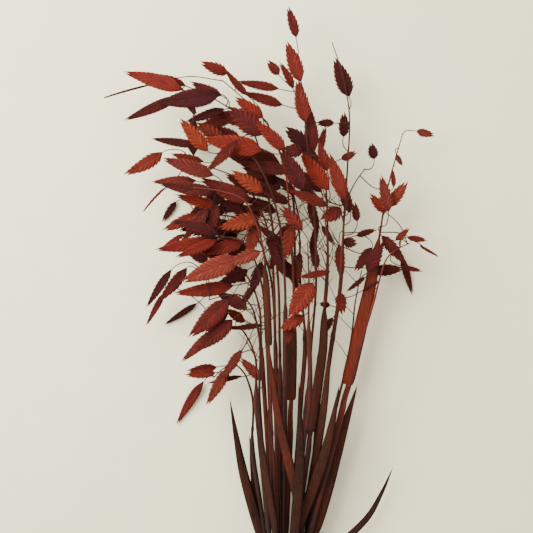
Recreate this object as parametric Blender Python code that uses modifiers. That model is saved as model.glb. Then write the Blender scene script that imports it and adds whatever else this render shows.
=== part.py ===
"""A tied bunch of dyed sea oats, lying on a table with its seed heads away from the tie.

Metres, +Z up, +Y from the tie towards the seed heads, origin on the table under the tie.
Each cut stem is one solid: its culm with leaf sheaths and blades, and at its top a nodding
panicle whose thin pedicels each carry one flat, two-ranked spikelet with a saw-toothed edge.
"""

import math
import random

import bmesh
import bpy
import numpy as np
from mathutils import Matrix, Vector
from mathutils.bvhtree import BVHTree

MM = 0.001
SEED = 11
UP = Vector((0, 0, 1))

# The bunch as a whole
CUT_END_Y = -90 * MM          # where the cut ends stand, below the tie
STATION_STEP = 45 * MM        # spacing of the sections at which the culms are laid side by side
LOWER_Y = 69 * MM             # height above the tie of the lower fan section
LOWER_LEFT, LOWER_WIDTH = -23 * MM, 53 * MM
FAN_Y = 178 * MM              # height above the tie of the upper fan section
FAN_LEFT, FAN_WIDTH = -26 * MM, 80 * MM
GAP = 0.3 * MM                # clearance left between two separate stems
SETTLE_TURNS = 160
CEILING = 84 * MM             # no spikelet rises above this
FILL_CEILING = 56 * MM        # hidden ones stay below this
FILL_WITHIN = 15 * MM         # and this near to the middles of three that show
FLAT_WITHIN = 1.0             # degrees between faces that are merged after the union

# One culm
FOOT_RADIUS = 1.3 * MM        # at the cut end
NECK_RADIUS = 0.95 * MM       # where the panicle begins
CROWN_RADIUS = 0.5 * MM       # tip of the panicle's axis
SHEATH_RADIUS = 1.9 * MM      # culm with a leaf sheath wrapped round it
SHEATH_LIP = 1.5 * MM
CULM_SIDES = 5
SHEATH_FADE = 8 * MM
AXIS_STEPS = 2                # straight pieces from neck to bend, and from bend to crown

# One spikelet
FULLNESS = 1.12               # width over the width on the grid, which leaves out the teeth
SPIKELET_THICKNESS = 2.6 * MM
TEETH = 4                     # saw teeth on each edge
NOTCH = 0.74                  # how deep the saw is cut
PEDICEL_WIDTH = 1.0 * MM

# The grid over the bunch on which its spikelets are set out, as an eye sees it from above
GRID = 0.82 * MM              # one step of the grid at GRID_Z
GRID_X, GRID_Y = 283, 617     # where the tie is: steps from the left and down from the top
GRID_Z = 35 * MM
EYE = Vector((-13.5, 287, 1135)) * MM

BLADE_THICKNESS = 0.9 * MM    # a dried leaf at its midrib

# The tie: three turns of twine round the waist
TIE_TURNS = 3
TWINE = 2.0 * MM
TIE_FACETS = 16
TIE_HALF = 0.5 * TIE_TURNS * TWINE


class Stem:
    """One cut stem. Places are x, y, z in millimetres from the origin under the tie.

    neck, bend and crown lead the panicle's axis. hang is the way its spikelets point at the
    neck and at the crown, in degrees round +Z from +X, and spread how far they part from it
    to either side. length is the longest of them. sheath is where its leaf sheath begins and
    ends. least is how many spikelets it has at the least, with those hidden under others.
    """

    def __init__(self, name, neck, bend, crown, hang, length, sheath, spread=17, least=10):
        self.name = name
        self.neck, self.bend, self.crown = (Vector(p) * MM for p in (neck, bend, crown))
        self.hang = hang
        self.length = length * MM
        self.sheath_foot, self.sheath_end = (y * MM for y in sheath)
        self.spread = spread
        self.least = least


STEMS = [
    Stem("reach", (-11, 336, 44), (-28, 402, 50), (-80, 434, 46),
         (196, 160), 50, (96, 200), least=7),
    Stem("crest", (8, 345, 30), (-12, 402, 34), (-50, 440, 32),
         (182, 156), 42, (40, 150)),
    Stem("plume", (-4, 326, 60), (-26, 376, 66), (-74, 400, 60),
         (192, 166), 46, (120, 250)),
    Stem("drift", (-12, 316, 18), (-34, 358, 18), (-78, 374, 15),
         (198, 172), 43, (64, 190)),
    Stem("mane", (-16, 300, 70), (-32, 340, 74), (-72, 350, 64),
         (204, 178), 47, (34, 130)),
    Stem("fringe", (-13, 290, 10), (-34, 326, 10), (-74, 330, 10),
         (206, 184), 43, (80, 220)),
    Stem("veil", (-18, 275, 50), (-34, 308, 54), (-68, 310, 44),
         (214, 190), 47, (50, 160)),
    Stem("tress", (-20, 256, 28), (-36, 286, 28), (-68, 284, 24),
         (222, 202), 43, (100, 210)),
    Stem("sweep", (-21, 240, 62), (-34, 264, 64), (-60, 260, 54),
         (226, 206), 47, (20, 120)),
    Stem("trail", (-23, 214, 38), (-37, 238, 38), (-56, 230, 30),
         (238, 214), 45, (70, 180), least=7),
    Stem("stray", (-27, 186, 20), (-41, 206, 18), (-58, 194, 12),
         (240, 216), 40, (34, 140), least=5),
    Stem("heart", (5, 328, 50), (0, 372, 56), (-16, 402, 58),
         (176, 140), 42, (64, 170)),
    Stem("core", (14, 276, 38), (12, 330, 42), (-2, 378, 44),
         (196, 140), 41, (110, 230), spread=20),
    Stem("spire", (25, 330, 46), (18, 400, 50), (12, 460, 50),
         (132, 102), 42, (50, 180)),
    Stem("wand", (37, 318, 22), (34, 370, 22), (22, 420, 20),
         (154, 120), 38, (94, 210)),
    Stem("amber", (20, 244, 66), (20, 274, 72), (19, 306, 74),
         (236, 140), 46, (154, 235), spread=26),
    Stem("sprig", (33, 262, 58), (35, 304, 62), (30, 350, 64),
         (206, 112), 40, (34, 140), spread=24),
    Stem("whip", (50, 326, 32), (54, 416, 34), (40, 470, 38),
         (112, 104), 31, (110, 190), spread=34, least=5),
    Stem("spray", (47, 296, 50), (52, 342, 52), (66, 366, 48),
         (70, 84), 25, (64, 150), spread=46, least=0),
    Stem("outer", (80, 318, 34), (86, 352, 32), (100, 398, 16),
         (84, 20), 31, (80, 180), spread=34, least=6),
    Stem("edge", (74, 262, 50), (84, 294, 50), (103, 306, 38),
         (-64, 8), 33, (70, 170), spread=34, least=5),
    Stem("low", (57, 226, 16), (60, 254, 14), (66, 284, 12),
         (262, 318), 27, (20, 134), spread=50, least=4),
]

# Spikelets set out one by one: base and tip on the grid, width in steps, height above the
# table in millimetres, 0 for one that touches it, and roll about its own length in degrees
SPIKELETS = [
    (184, 91, 126, 69, 15, 52, 0),
    (186, 87, 156, 74, 9, 44, 10),
    (220, 95, 160, 104, 19, 62, -8),
    (179, 98, 126, 121, 11, 58, 8),
    (152, 87, 103, 100, 6, 32, 82),
    (186, 100, 199, 115, 9, 36, 20),
    (225, 110, 186, 122, 10, 52, 12),
    (243, 125, 213, 113, 12, 42, 0),
    (208, 152, 180, 121, 15, 60, 5),
    (224, 142, 197, 122, 14, 50, -10),
    (263, 152, 205, 136, 19, 64, 6),
    (198, 147, 153, 139, 10, 40, 22),
    (163, 153, 129, 180, 14, 34, 0),
    (214, 176, 164, 159, 15, 54, -6),
    (204, 163, 171, 155, 9, 46, 20),
    (197, 182, 153, 180, 10, 44, 8),
    (216, 192, 160, 189, 13, 50, -12),
    (167, 189, 145, 213, 6, 30, 78),
    (218, 207, 176, 198, 12, 38, 6),
    (176, 202, 161, 222, 8, 0, 10),
    (198, 215, 164, 232, 13, 34, 0),
    (210, 225, 179, 232, 8, 26, 15),
    (209, 209, 184, 241, 13, 46, 12),
    (216, 203, 208, 243, 15, 40, -10),
    (216, 241, 158, 252, 14, 46, 5),
    (185, 235, 160, 251, 7, 38, 30),
    (218, 240, 176, 258, 10, 56, -5),
    (244, 243, 201, 254, 14, 50, 8),
    (260, 218, 220, 229, 16, 68, 0),
    (241, 258, 182, 281, 20, 64, -5),
    (261, 252, 227, 265, 13, 72, 5),
    (172, 270, 147, 307, 9, 32, 12),
    (187, 268, 161, 303, 12, 42, -8),
    (166, 292, 146, 325, 7, 24, 15),
    (234, 286, 176, 297, 14, 52, 8),
    (197, 304, 165, 326, 7, 0, 12),
    (229, 299, 193, 339, 19, 60, -4),
    (216, 330, 183, 363, 11, 48, 10),
    (233, 320, 199, 352, 17, 52, 8),
    (217, 367, 187, 370, 10, 30, -12),
    (216, 373, 186, 379, 9, 35, 14),
    (242, 350, 221, 381, 10, 46, 10),
    (229, 368, 206, 404, 12, 40, -6),
    (242, 377, 209, 384, 6, 36, 40),
    (204, 382, 174, 422, 10, 0, 14),
    (262, 381, 240, 358, 11, 42, 12),
    (263, 326, 229, 331, 7, 44, 30),
    (245, 322, 226, 311, 10, 38, 0),
    (228, 75, 201, 63, 13, 46, 6),
    (248, 97, 222, 72, 9, 42, 24),
    (279, 90, 238, 82, 10, 46, 8),
    (283, 106, 243, 93, 11, 42, -6),
    (263, 119, 236, 98, 14, 58, 4),
    (279, 76, 268, 61, 11, 30, 0),
    (293, 90, 281, 63, 9, 44, 16),
    (296, 39, 290, 7, 11, 40, 10),
    (301, 83, 287, 42, 15, 50, -5),
    (306, 124, 296, 81, 15, 58, 4),
    (315, 152, 305, 106, 14, 52, -10),
    (309, 148, 285, 129, 17, 46, 0),
    (349, 98, 336, 59, 17, 36, 4),
    (334, 124, 316, 124, 9, 42, 8),
    (320, 152, 323, 126, 8, 48, 12),
    (343, 138, 345, 113, 12, 36, 8),
    (341, 160, 357, 154, 9, 32, 0),
    (374, 160, 371, 144, 11, 42, 0),
    (263, 136, 229, 107, 21, 70, 0),
    (285, 152, 258, 121, 14, 66, 8),
    (302, 153, 282, 150, 14, 76, -6),
    (304, 191, 281, 150, 18, 70, 4),
    (291, 172, 240, 166, 13, 58, 10),
    (238, 141, 208, 173, 11, 74, 10),
    (264, 193, 231, 172, 14, 70, -4),
    (252, 201, 200, 184, 16, 60, 6),
    (328, 207, 290, 190, 11, 68, 10),
    (321, 193, 302, 171, 12, 54, 8),
    (329, 191, 302, 153, 16, 64, -4),
    (327, 172, 318, 144, 12, 60, 10),
    (346, 202, 329, 155, 14, 58, -6),
    (350, 214, 340, 180, 12, 50, 8),
    (357, 222, 353, 203, 9, 46, 5),
    (341, 209, 322, 223, 16, 52, 0),
    (302, 231, 282, 207, 14, 64, 6),
    (299, 224, 275, 238, 12, 58, 12),
    (291, 227, 286, 259, 14, 62, -8),
    (270, 240, 284, 276, 11, 54, 14),
    (258, 222, 247, 256, 15, 62, 8),
    (329, 273, 299, 277, 8, 66, 20),
    (313, 283, 289, 317, 21, 72, 0),
    (304, 316, 280, 331, 14, 66, 6),
    (291, 329, 287, 345, 9, 60, 10),
    (416, 132, 434, 137, 9, 26, 0),
    (396, 155, 402, 167, 6, 30, 20),
    (388, 208, 406, 182, 13, 42, 0),
    (386, 213, 368, 196, 11, 38, 4),
    (388, 213, 383, 176, 13, 50, 8),
    (393, 188, 392, 169, 6, 44, 20),
    (343, 243, 357, 243, 12, 48, 0),
    (339, 245, 341, 280, 11, 40, 6),
    (356, 236, 376, 229, 8, 44, 25),
    (381, 236, 407, 264, 12, 46, 5),
    (401, 256, 415, 294, 8, 0, 8),
    (395, 241, 410, 229, 7, 42, 0),
    (407, 238, 427, 241, 7, 38, 8),
    (420, 245, 438, 256, 5, 34, 70),
    (376, 268, 404, 267, 8, 38, 12),
    (402, 267, 422, 271, 6, 34, 20),
    (372, 248, 355, 272, 12, 42, 6),
    (367, 273, 385, 242, 14, 50, -6),
    (362, 291, 380, 281, 5, 40, 30),
    (365, 278, 347, 293, 6, 36, 30),
    (340, 293, 342, 315, 12, 46, 0),
    (330, 306, 319, 304, 7, 40, 10),
    (333, 318, 322, 335, 8, 44, 15),
    (262, 262, 252, 296, 12, 40, 6),
    (248, 270, 218, 288, 13, 38, 0),
    (274, 254, 299, 286, 12, 42, 8),
    (287, 262, 297, 292, 9, 34, -6),
    (266, 239, 290, 257, 12, 44, 4),
    (309, 199, 319, 236, 10, 46, 10),
    (277, 213, 243, 197, 12, 44, 0),
    (270, 203, 240, 212, 10, 38, 12),
    (288, 204, 260, 188, 11, 50, -8),
    (262, 217, 238, 204, 9, 34, 20),
    (243, 319, 227, 309, 8, 30, 6),
    (300, 252, 296, 284, 9, 40, 14),
    (238, 262, 212, 268, 10, 34, 10),
    (296, 196, 276, 178, 10, 46, 10),
    (322, 226, 334, 246, 7, 44, 12),
    (254, 286, 240, 308, 8, 28, 10),
    (252, 160, 218, 146, 13, 36, 10),
    (241, 141, 211, 126, 12, 40, 0),
    (262, 196, 226, 175, 13, 40, 6),
    (246, 214, 218, 199, 12, 34, 0),
    (222, 97, 190, 84, 11, 48, 10),
    (246, 304, 222, 300, 10, 30, 12),
    (312, 252, 316, 222, 8, 38, 10),
    (233, 232, 210, 221, 11, 30, 10),
    (318, 268, 309, 240, 9, 34, 10),
]

# Leaf blades in millimetres: x and y where each leaves a culm, its tip, its greatest width,
# how far it bows to the right, and its roll about its own length in degrees
BLADES = [
    (-14, 30, (-44, 178, 24), 9, -3, 15),
    (26, 50, (61, 190, 34), 12, -1, -10),
    (14, 60, (45, 192, 56), 10, 4, 12),
    (26, 16, (92, 120, 14), 7, 13, 20),
    (4, 76, (-12, 226, 72), 8, -3, 0),
    (20, 40, (30, 214, 6), 8, 3, 30),
    (-6, 50, (-22, 206, 66), 7, -3, -20),
    (8, 36, (12, 196, 74), 9, 3, 8),
    (24, 90, (38, 238, 74), 7, 2, -20),
    (-12, 20, (-28, 146, 6), 8, -2, 20),
]

# Loose sheaths, twice as thick as a blade and cut square below: stem, from, to, width
WRAPS = [
    ("outer", 190, 313, 11),
    ("heart", 178, 248, 9),
    ("sprig", 153, 258, 8),
    ("mane", 224, 290, 6),
]


def smooth_path(knots, steps):
    """Points of one smooth curve through the knots, with this many steps from knot to knot."""
    ends = [2 * knots[0] - knots[1], *knots, 2 * knots[-1] - knots[-2]]
    path = []
    for a, b, c, d in zip(ends, ends[1:], ends[2:], ends[3:]):
        for i in range(steps):
            t = i / steps
            bend = (2 * a - 5 * b + 4 * c - d) * t * t + (3 * b - a - 3 * c + d) * t**3
            path.append(0.5 * (2 * b + (c - a) * t + bend))
    path.append(knots[-1].copy())
    return path


def blend(a, b, share):
    return a + (b - a) * share


def bare_radius(stem, y):
    """The culm without its sheaths, which tapers from the cut end to the neck."""
    rise = (y - CUT_END_Y) / (stem.neck.y - CUT_END_Y)
    return blend(FOOT_RADIUS, NECK_RADIUS, max(0.0, min(1.0, rise)))


def culm_radius(stem, y):
    """The culm at this height, with the leaf sheath round it where there is one."""
    radius = bare_radius(stem, y)
    past = (y - stem.sheath_end) / SHEATH_FADE
    if y < stem.sheath_foot or past > 1:
        return radius
    return blend(SHEATH_RADIUS, radius, max(0.0, past))


def waist_slots(count):
    """Places of the culms inside the tie, packed as closely as they go, in columns along Z."""
    pitch = 2 * FOOT_RADIUS + GAP
    column = pitch * math.sqrt(3) / 2
    spots = [
        (i * column, (j + 0.5 * (i % 2)) * pitch) for i in range(-5, 6) for j in range(-5, 6)
    ]
    centre = (column / 3, pitch / 2)
    spots.sort(key=lambda s: (round(math.dist(s, centre), 6), s))
    spots = sorted(spots[:count])
    middle = [sum(axis) / count for axis in zip(*spots)]
    return [(x - middle[0], z - middle[1]) for x, z in spots]


def give_slots(stems):
    """Gives each stem its slot, in the order the fan has from left to right and from the
    table up, and returns the radius of the whole waist."""
    slots = waist_slots(len(stems))
    waiting = sorted(stems, key=lambda s: s.neck.x)
    for column in sorted({round(x, 6) for x, _ in slots}):
        here = [s for s in slots if abs(s[0] - column) < 1e-5]
        group, waiting = waiting[: len(here)], waiting[len(here) :]
        for stem, slot in zip(sorted(group, key=lambda s: s.neck.z), here):
            stem.slot = slot
    return max(math.hypot(*s.slot) for s in stems) + FOOT_RADIUS


def settle_culms(stems, waist_z):
    """Lays the culms side by side from the cut ends to the necks, pushed apart where they meet."""
    top = max(s.neck.y for s in stems)
    heights = np.concatenate([
        np.arange(CUT_END_Y, -0.5 * STATION_STEP, STATION_STEP),
        [-TIE_HALF, TIE_HALF],
        np.arange(STATION_STEP, top, STATION_STEP),
    ])
    tied = np.abs(heights) < 2 * TIE_HALF
    count = len(stems)
    place = np.zeros((count, len(heights), 2))
    radius = np.zeros((count, len(heights)))
    used = np.zeros((count, len(heights)), bool)
    ranked = sorted(stems, key=lambda s: s.neck.x)
    for i, stem in enumerate(stems):
        lane = ranked.index(stem) / (count - 1)
        slot_x, slot_z = stem.slot
        start_z = waist_z + slot_z
        lower_x = LOWER_LEFT + lane * LOWER_WIDTH
        fan_y = min(FAN_Y, stem.neck.y - 2 * STATION_STEP)
        fan_x = blend(lower_x, FAN_LEFT + lane * FAN_WIDTH, (fan_y - LOWER_Y) / (FAN_Y - LOWER_Y))
        knots = [
            Vector((1.8 * slot_x, CUT_END_Y, waist_z + 1.2 * slot_z)),
            Vector((slot_x, -TIE_HALF, start_z)),
            Vector((slot_x, TIE_HALF, start_z)),
            Vector((lower_x, LOWER_Y, blend(start_z, stem.neck.z, 0.3))),
            Vector((fan_x, fan_y, blend(start_z, stem.neck.z, 0.7))),
            stem.neck,
        ]
        path = np.array(smooth_path(knots, 12))
        place[i, :, 0] = np.interp(heights, path[:, 1], path[:, 0])
        place[i, :, 1] = np.interp(heights, path[:, 1], path[:, 2])
        radius[i] = [max(culm_radius(stem, y - 5 * MM), culm_radius(stem, y + 5 * MM)) for y in heights]
        used[i] = heights < stem.neck.y - 0.5 * STATION_STEP
    for turn in range(SETTLE_TURNS):
        for s in range(len(heights) - 1):
            if tied[s] and tied[s + 1]:
                continue
            on = np.flatnonzero(used[:, s])
            low = place[on, None, s] - place[None, on, s]
            high = place[on, None, s + 1] - place[None, on, s + 1]
            run = high - low
            share = -(low * run).sum(-1) / np.maximum((run * run).sum(-1), 1e-12)
            share = np.clip(share, 0, 1)[..., None]
            apart = low + share * run
            far = np.hypot(apart[..., 0], apart[..., 1]) + np.eye(len(on))
            thick = np.maximum(radius[on, s], radius[on, s + 1])
            want = thick[:, None] + thick[None] + 2 * GAP
            push = (np.clip(want - far, 0, None) * (1 - np.eye(len(on))) / far)[..., None] * apart
            if not tied[s]:
                place[on, s] += 0.5 * (push * (1 - share)).sum(1)
            if not tied[s + 1]:
                place[on, s + 1] += 0.5 * (push * share).sum(1)
        for s in range(1, len(heights) - 1):
            if turn < SETTLE_TURNS // 2 and not tied[s]:
                inner = np.flatnonzero(used[:, s + 1])
                middle = (place[inner, s - 1] + place[inner, s + 1]) / 2
                place[inner, s] += 0.15 * (middle - place[inner, s])
        place[..., 1] = np.maximum(place[..., 1], radius + 2 * GAP)
    for i, stem in enumerate(stems):
        stem.laid = [
            Vector((place[i, s, 0], heights[s], place[i, s, 1]))
            for s in range(len(heights)) if used[i, s]
        ]


def lead_line(stem, lift):
    """Gives the stem its line of (point, radius) from cut end to crown, and its panicle's axis."""
    raised = [
        stem.neck + UP * (lift / 2),
        stem.bend + UP * lift,
        stem.crown + UP * lift,
    ]
    axis = smooth_path([stem.laid[-1], *raised], AXIS_STEPS)[AXIS_STEPS:]
    line = []
    for a, b in zip(stem.laid, stem.laid[1:] + axis[:1]):
        line.append((a, culm_radius(stem, a.y)))
        if a.y < stem.sheath_foot < b.y:
            step = a.lerp(b, (stem.sheath_foot - a.y) / (b.y - a.y))
            line.append((step, bare_radius(stem, stem.sheath_foot)))
            line.append((step + (b - a).normalized() * SHEATH_LIP, SHEATH_RADIUS))
    for i, point in enumerate(axis):
        line.append((point, blend(NECK_RADIUS, CROWN_RADIUS, i / (len(axis) - 1))))
    stem.axis = axis
    stem.line = line


def line_samples(line):
    """Points 1 mm apart along a line, as rows of x, y, z and radius."""
    rows = []
    for (a, radius_a), (b, radius_b) in zip(line, line[1:]):
        steps = max(1, round((b - a).length / MM))
        for i in range(steps):
            rows.append((*a.lerp(b, i / steps), blend(radius_a, radius_b, i / steps)))
    return np.array(rows)


def raise_axes(stems):
    """Lifts or lowers each panicle's axis by the least amount that keeps it off other stems."""
    for stem in stems:
        lead_line(stem, 0.0)
    for stem in stems:
        others = np.concatenate([line_samples(s.line) for s in stems if s is not stem])
        best = (-1.0, 0.0)
        for k in range(25):
            lift = (k + 1) // 2 * (1 if k % 2 else -1) * 2 * MM
            if stem.crown.z + lift < 6 * MM or stem.neck.z + lift < 6 * MM:
                continue
            lead_line(stem, lift)
            own = line_samples([(stem.laid[-1], NECK_RADIUS), *stem.line[-2 * AXIS_STEPS - 1 :]])
            gaps = [np.linalg.norm(others[:, :3] - p[:3], axis=1) - others[:, 3] - p[3] for p in own]
            clear = min(g.min() for g in gaps)
            best = max(best, (clear, lift))
            if clear > 3 * GAP:
                break
        lead_line(stem, best[1])


def at_height(stem, y):
    """The point of a stem's line at this height."""
    for (a, _), (b, _) in zip(stem.line, stem.line[1:]):
        if a.y <= y <= b.y and b.y > a.y:
            return a.lerp(b, (y - a.y) / (b.y - a.y))
    return stem.line[-1][0]


class Lens:
    """A thin closed solid over a row of ribs: a ridge above, flat below, sharp at its edges.

    A rib is four vectors: its centre, and from there the steps to the left edge, to the right
    edge and to the crest. The solid is a grid rolled up along its length, with pointed ends.
    """

    made = {}
    corners = ((-1, 0), (0, 1), (1, 0), (-1, 0))

    def __init__(self, spans):
        shape = bmesh.new()
        bmesh.ops.create_grid(shape, x_segments=3, y_segments=spans, size=1)
        for vert in shape.verts:
            row = round((vert.co.y + 1) * spans / 2)
            across, crest = self.corners[round((vert.co.x + 1) * 1.5)]
            inner = 0 < row < spans
            vert.co = (across * inner, row, crest * inner)
        bmesh.ops.remove_doubles(shape, verts=shape.verts[:], dist=0.0001)
        bmesh.ops.recalc_face_normals(shape, faces=shape.faces[:])
        bmesh.ops.triangulate(shape, faces=shape.faces[:])
        self.mesh = bpy.data.meshes.new("lens")
        shape.to_mesh(self.mesh)
        shape.free()
        self.spans = spans
        self.at = [(round(v.co.x), round(v.co.y), round(v.co.z)) for v in self.mesh.vertices]
        self.faces = [tuple(p.vertices) for p in self.mesh.polygons]

    @classmethod
    def of(cls, ribs):
        spans = len(ribs) - 1
        if spans not in cls.made:
            cls.made[spans] = cls(spans)
        return cls.made[spans]

    def points(self, ribs, grow=0.0):
        found = []
        for across, row, crest in self.at:
            centre, left, right, rise = ribs[row]
            point = centre
            for share, step in ((across < 0, left), (across > 0, right), (crest, rise)):
                if share:
                    point = point + step * share + step.normalized() * (share * grow)
            if row in (0, self.spans) and grow:
                inward = ribs[1 if row == 0 else row - 1][0]
                point = point + (centre - inward).normalized() * grow
            found.append(point)
        return found

    def solid(self, name, ribs):
        mesh = self.mesh.copy()
        mesh.name = name
        mesh.vertices.foreach_set("co", [c for p in self.points(ribs) for c in p])
        mesh.update()
        return bpy.data.objects.new(name, mesh)


def lens_solid(name, ribs):
    return Lens.of(ribs).solid(name, ribs)


def lowest(ribs):
    return min(p.z for p in Lens.of(ribs).points(ribs))


def highest(ribs):
    return max(p.z for p in Lens.of(ribs).points(ribs))


class Crowd:
    """What is already in place, so that the next piece can be laid clear of it."""

    def __init__(self):
        self.things = []

    @staticmethod
    def wrap(points, faces):
        low = [min(p[i] for p in points) for i in range(3)]
        high = [max(p[i] for p in points) for i in range(3)]
        return BVHTree.FromPolygons(points, faces), low, high

    def add_ribs(self, owner, kind, ribs):
        lens = Lens.of(ribs)
        self.things.append((owner, kind, *self.wrap(lens.points(ribs), lens.faces)))

    def add_mesh(self, owner, kind, mesh):
        points = [v.co.copy() for v in mesh.vertices]
        faces = [tuple(p.vertices) for p in mesh.polygons]
        self.things.append((owner, kind, *self.wrap(points, faces)))

    def clear(self, owner, ribs, passing):
        """Whether these ribs miss every thing in place, but for the owner's kinds in passing.
        A spikelet with its stalk is whole to other stems, and two parts to its own."""
        lens = Lens.of(ribs)
        tree, low, high = self.wrap(lens.points(ribs, GAP), lens.faces)
        for who, kind, other, other_low, other_high in self.things:
            ignored = (*passing, "whole") if who == owner else ("spikelet", "stalk")
            if kind in ignored:
                continue
            if any(low[i] > other_high[i] or high[i] < other_low[i] for i in range(3)):
                continue
            if tree.overlap(other):
                return False
        return True

    def take_in(self, owner, whole, grain_may, stalk_may):
        """Adds a spikelet with its stalk if it is clear, and tells whether it was."""
        grain, stalk = whole[3:], whole[:5]
        if not self.clear(owner, whole, ("culm", "blade", "stalk", "spikelet")):
            return False
        if not self.clear(owner, grain, grain_may) or not self.clear(owner, stalk, stalk_may):
            return False
        for kind, ribs in (("whole", whole), ("spikelet", grain), ("stalk", stalk)):
            self.add_ribs(owner, kind, ribs)
        return True


def frame_of(along, roll):
    """Two unit vectors across a direction: one level to its side, one over it, then rolled."""
    side = along.cross(UP)
    side = side.normalized() if side.length > 1e-6 else Vector((1, 0, 0))
    side = Matrix.Rotation(roll, 3, along) @ side
    return side, side.cross(along)


def outline(t):
    """Half the outline of a spikelet: its share of the greatest width at t from base to tip."""
    return max(0.0, math.sin(math.pi * t**0.72)) ** 0.8


def spikelet_ribs(start, lean, base, along, roll, length, width, sweep, arch):
    """Ribs of one spikelet with its pedicel, as one piece: from inside the culm out along lean
    to the base, then up the spikelet. Left and right teeth alternate and point forward."""
    reach = (base - start).length
    side, face = frame_of((base - start).normalized(), roll)
    across, over = side * PEDICEL_WIDTH / 2, face * PEDICEL_WIDTH
    points = [start, start + lean * (0.08 * reach), start + lean * (0.5 * reach), base]
    ribs = [(point - over / 3, -across, across, over) for point in points]
    side, face = frame_of(along, roll)
    rows = 2 * TEETH + 1
    for row in range(1, rows + 1):
        t = row / rows
        centre = base + along * (t * length)
        centre = centre + side * (sweep * length * t * t) + face * (arch * length * t * (1 - t))
        half = 0.5 * width * outline(t)
        lead = along * (0.07 * length)
        tooth, notch = side * half + lead, side * (half * NOTCH)
        back_tooth, back_notch = lead - side * half, -side * (half * NOTCH)
        left, right = (back_tooth, notch) if row % 2 else (back_notch, tooth)
        rise = face * (SPIKELET_THICKNESS * min(1.0, 1.3 * outline(t)))
        ribs.append((centre, left, right, rise))
    return ribs


# What a new spikelet and its stalk may cross on their own stem, the more the longer they look
OWN_CROSSINGS = [
    ((), ("culm",)),
    (("culm",), ("culm", "stalk")),
    (("culm", "stalk", "spikelet"), ("culm", "stalk", "spikelet")),
]


def on_grid(x, y, z):
    """The point at height z that stands at this place of the grid, seen from the eye."""
    level = Vector(((x - GRID_X) * GRID, (GRID_Y - y) * GRID, GRID_Z))
    return EYE + (level - EYE) * ((EYE.z - z) / (EYE.z - GRID_Z))


def stalk_starts(stem):
    """Where stalks may leave a stem: points along its upper culm and its panicle's axis."""
    rows = line_samples(stem.line)
    return rows[np.argmax(rows[:, 1] > stem.neck.y - 50 * MM) :, :3]


def hang_spikelet(stems, spikelet, crowd, draw):
    """Hangs one spikelet where the grid has it, from the stem that bears it best, clear of all
    other stems; returns the stem and what spikelet_ribs takes."""
    x, y, tip_x, tip_y, width, height, tilt = spikelet
    foot = height == 0
    sweep, arch = draw.gauss(0, 0.05), draw.gauss(0, 0.06)
    droop = draw.uniform(-0.02, 0.16)
    for grain_may, stalk_may in OWN_CROSSINGS:
        for k in range(1 if foot else 17):
            z = height * MM + (k + 1) // 2 * (1 if k % 2 else -1) * 2 * MM
            z = max(z, 8 * MM)
            base = on_grid(x, y, z)
            tip = on_grid(tip_x, tip_y, z)
            length = (tip - base).length
            along = (tip - base - UP * (droop * length)).normalized()
            roll = math.radians(tilt)
            behind = base - along * (12 * MM)
            starts = []
            for stem in stems:
                gaps = np.linalg.norm(stem.starts - np.array(behind), axis=1)
                starts.append((gaps.min(), stem.name, stem, Vector(stem.starts[gaps.argmin()])))
            for _, _, stem, start in sorted(starts, key=lambda s: s[:2])[:6]:
                reach = (base - start).length
                if reach < 3 * MM:
                    continue
                lean = ((base - start) * (2 / reach) - along).normalized()
                way = (start, lean, base, along, roll, length, width * GRID * FULLNESS, sweep, arch)
                whole = spikelet_ribs(*way)
                if foot:
                    base = base - UP * lowest(whole[3:])
                    way = (start, lean, base, *way[3:])
                    whole = spikelet_ribs(*way)
                elif lowest(whole[3:]) < 2 * GAP:
                    continue
                if lowest(whole[:4]) < 2 * GAP or highest(whole) > CEILING:
                    continue
                if crowd.take_in(stem.name, whole, grain_may, stalk_may):
                    return stem, way
    print("no room for", spikelet)
    return None


def fill_out(stem, missing, crowd, draw, middles):
    """Hangs the spikelets that the grid can't show, low down along the panicle's axis and only
    where those above are dense; returns what spikelet_ribs takes for each."""
    placed = []
    for k in range(missing):
        t = (k + 0.5) / missing
        run = t * (len(stem.axis) - 1)
        i = min(int(run), len(stem.axis) - 2)
        tangent = (stem.axis[i + 1] - stem.axis[i]).normalized()
        start = stem.axis[i].lerp(stem.axis[i + 1], run - i) - tangent * (2 * MM)
        side = 1 if k % 2 else -1
        heading = blend(stem.hang[0], stem.hang[1], t)
        size = stem.length * draw.uniform(0.72, 1.0)
        width = max(8.5 * MM, size * draw.uniform(0.30, 0.38))
        stalk = draw.uniform(6, 20) * MM
        tilt = draw.uniform(-25, 25)
        sweep = draw.gauss(0, 0.07)
        arch = draw.gauss(0, 0.10)
        for attempt in range(120):
            loose = 1 + (attempt % 80) / 20
            turn = heading + side * stem.spread + draw.gauss(0, 11) * loose
            climb = draw.gauss(-0.35 * max(0.0, start.z / MM - 30), 8) * loose
            climb = max(-50.0, min(30.0, climb))
            level = math.cos(math.radians(climb))
            along = Vector((
                math.cos(math.radians(turn)) * level,
                math.sin(math.radians(turn)) * level,
                math.sin(math.radians(climb)),
            ))
            roll = math.radians(tilt + draw.gauss(0, 6) * loose)
            lean = (tangent * 0.9 + along * 0.5).normalized()
            base = start + (lean * 0.5 + along * 0.5) * stalk
            ends = base, base + along * size
            if any(sorted((end - m).xy.length for m in middles)[2] > FILL_WITHIN for end in ends):
                continue
            way = (start, lean, base, along, roll, size, width, sweep, arch)
            whole = spikelet_ribs(*way)
            if lowest(whole) < 2 * GAP or highest(whole[3:]) > FILL_CEILING:
                continue
            grain_may, stalk_may = OWN_CROSSINGS[attempt // 40]
            if crowd.take_in(stem.name, whole, grain_may, stalk_may):
                placed.append(way)
                break
    return placed


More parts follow.
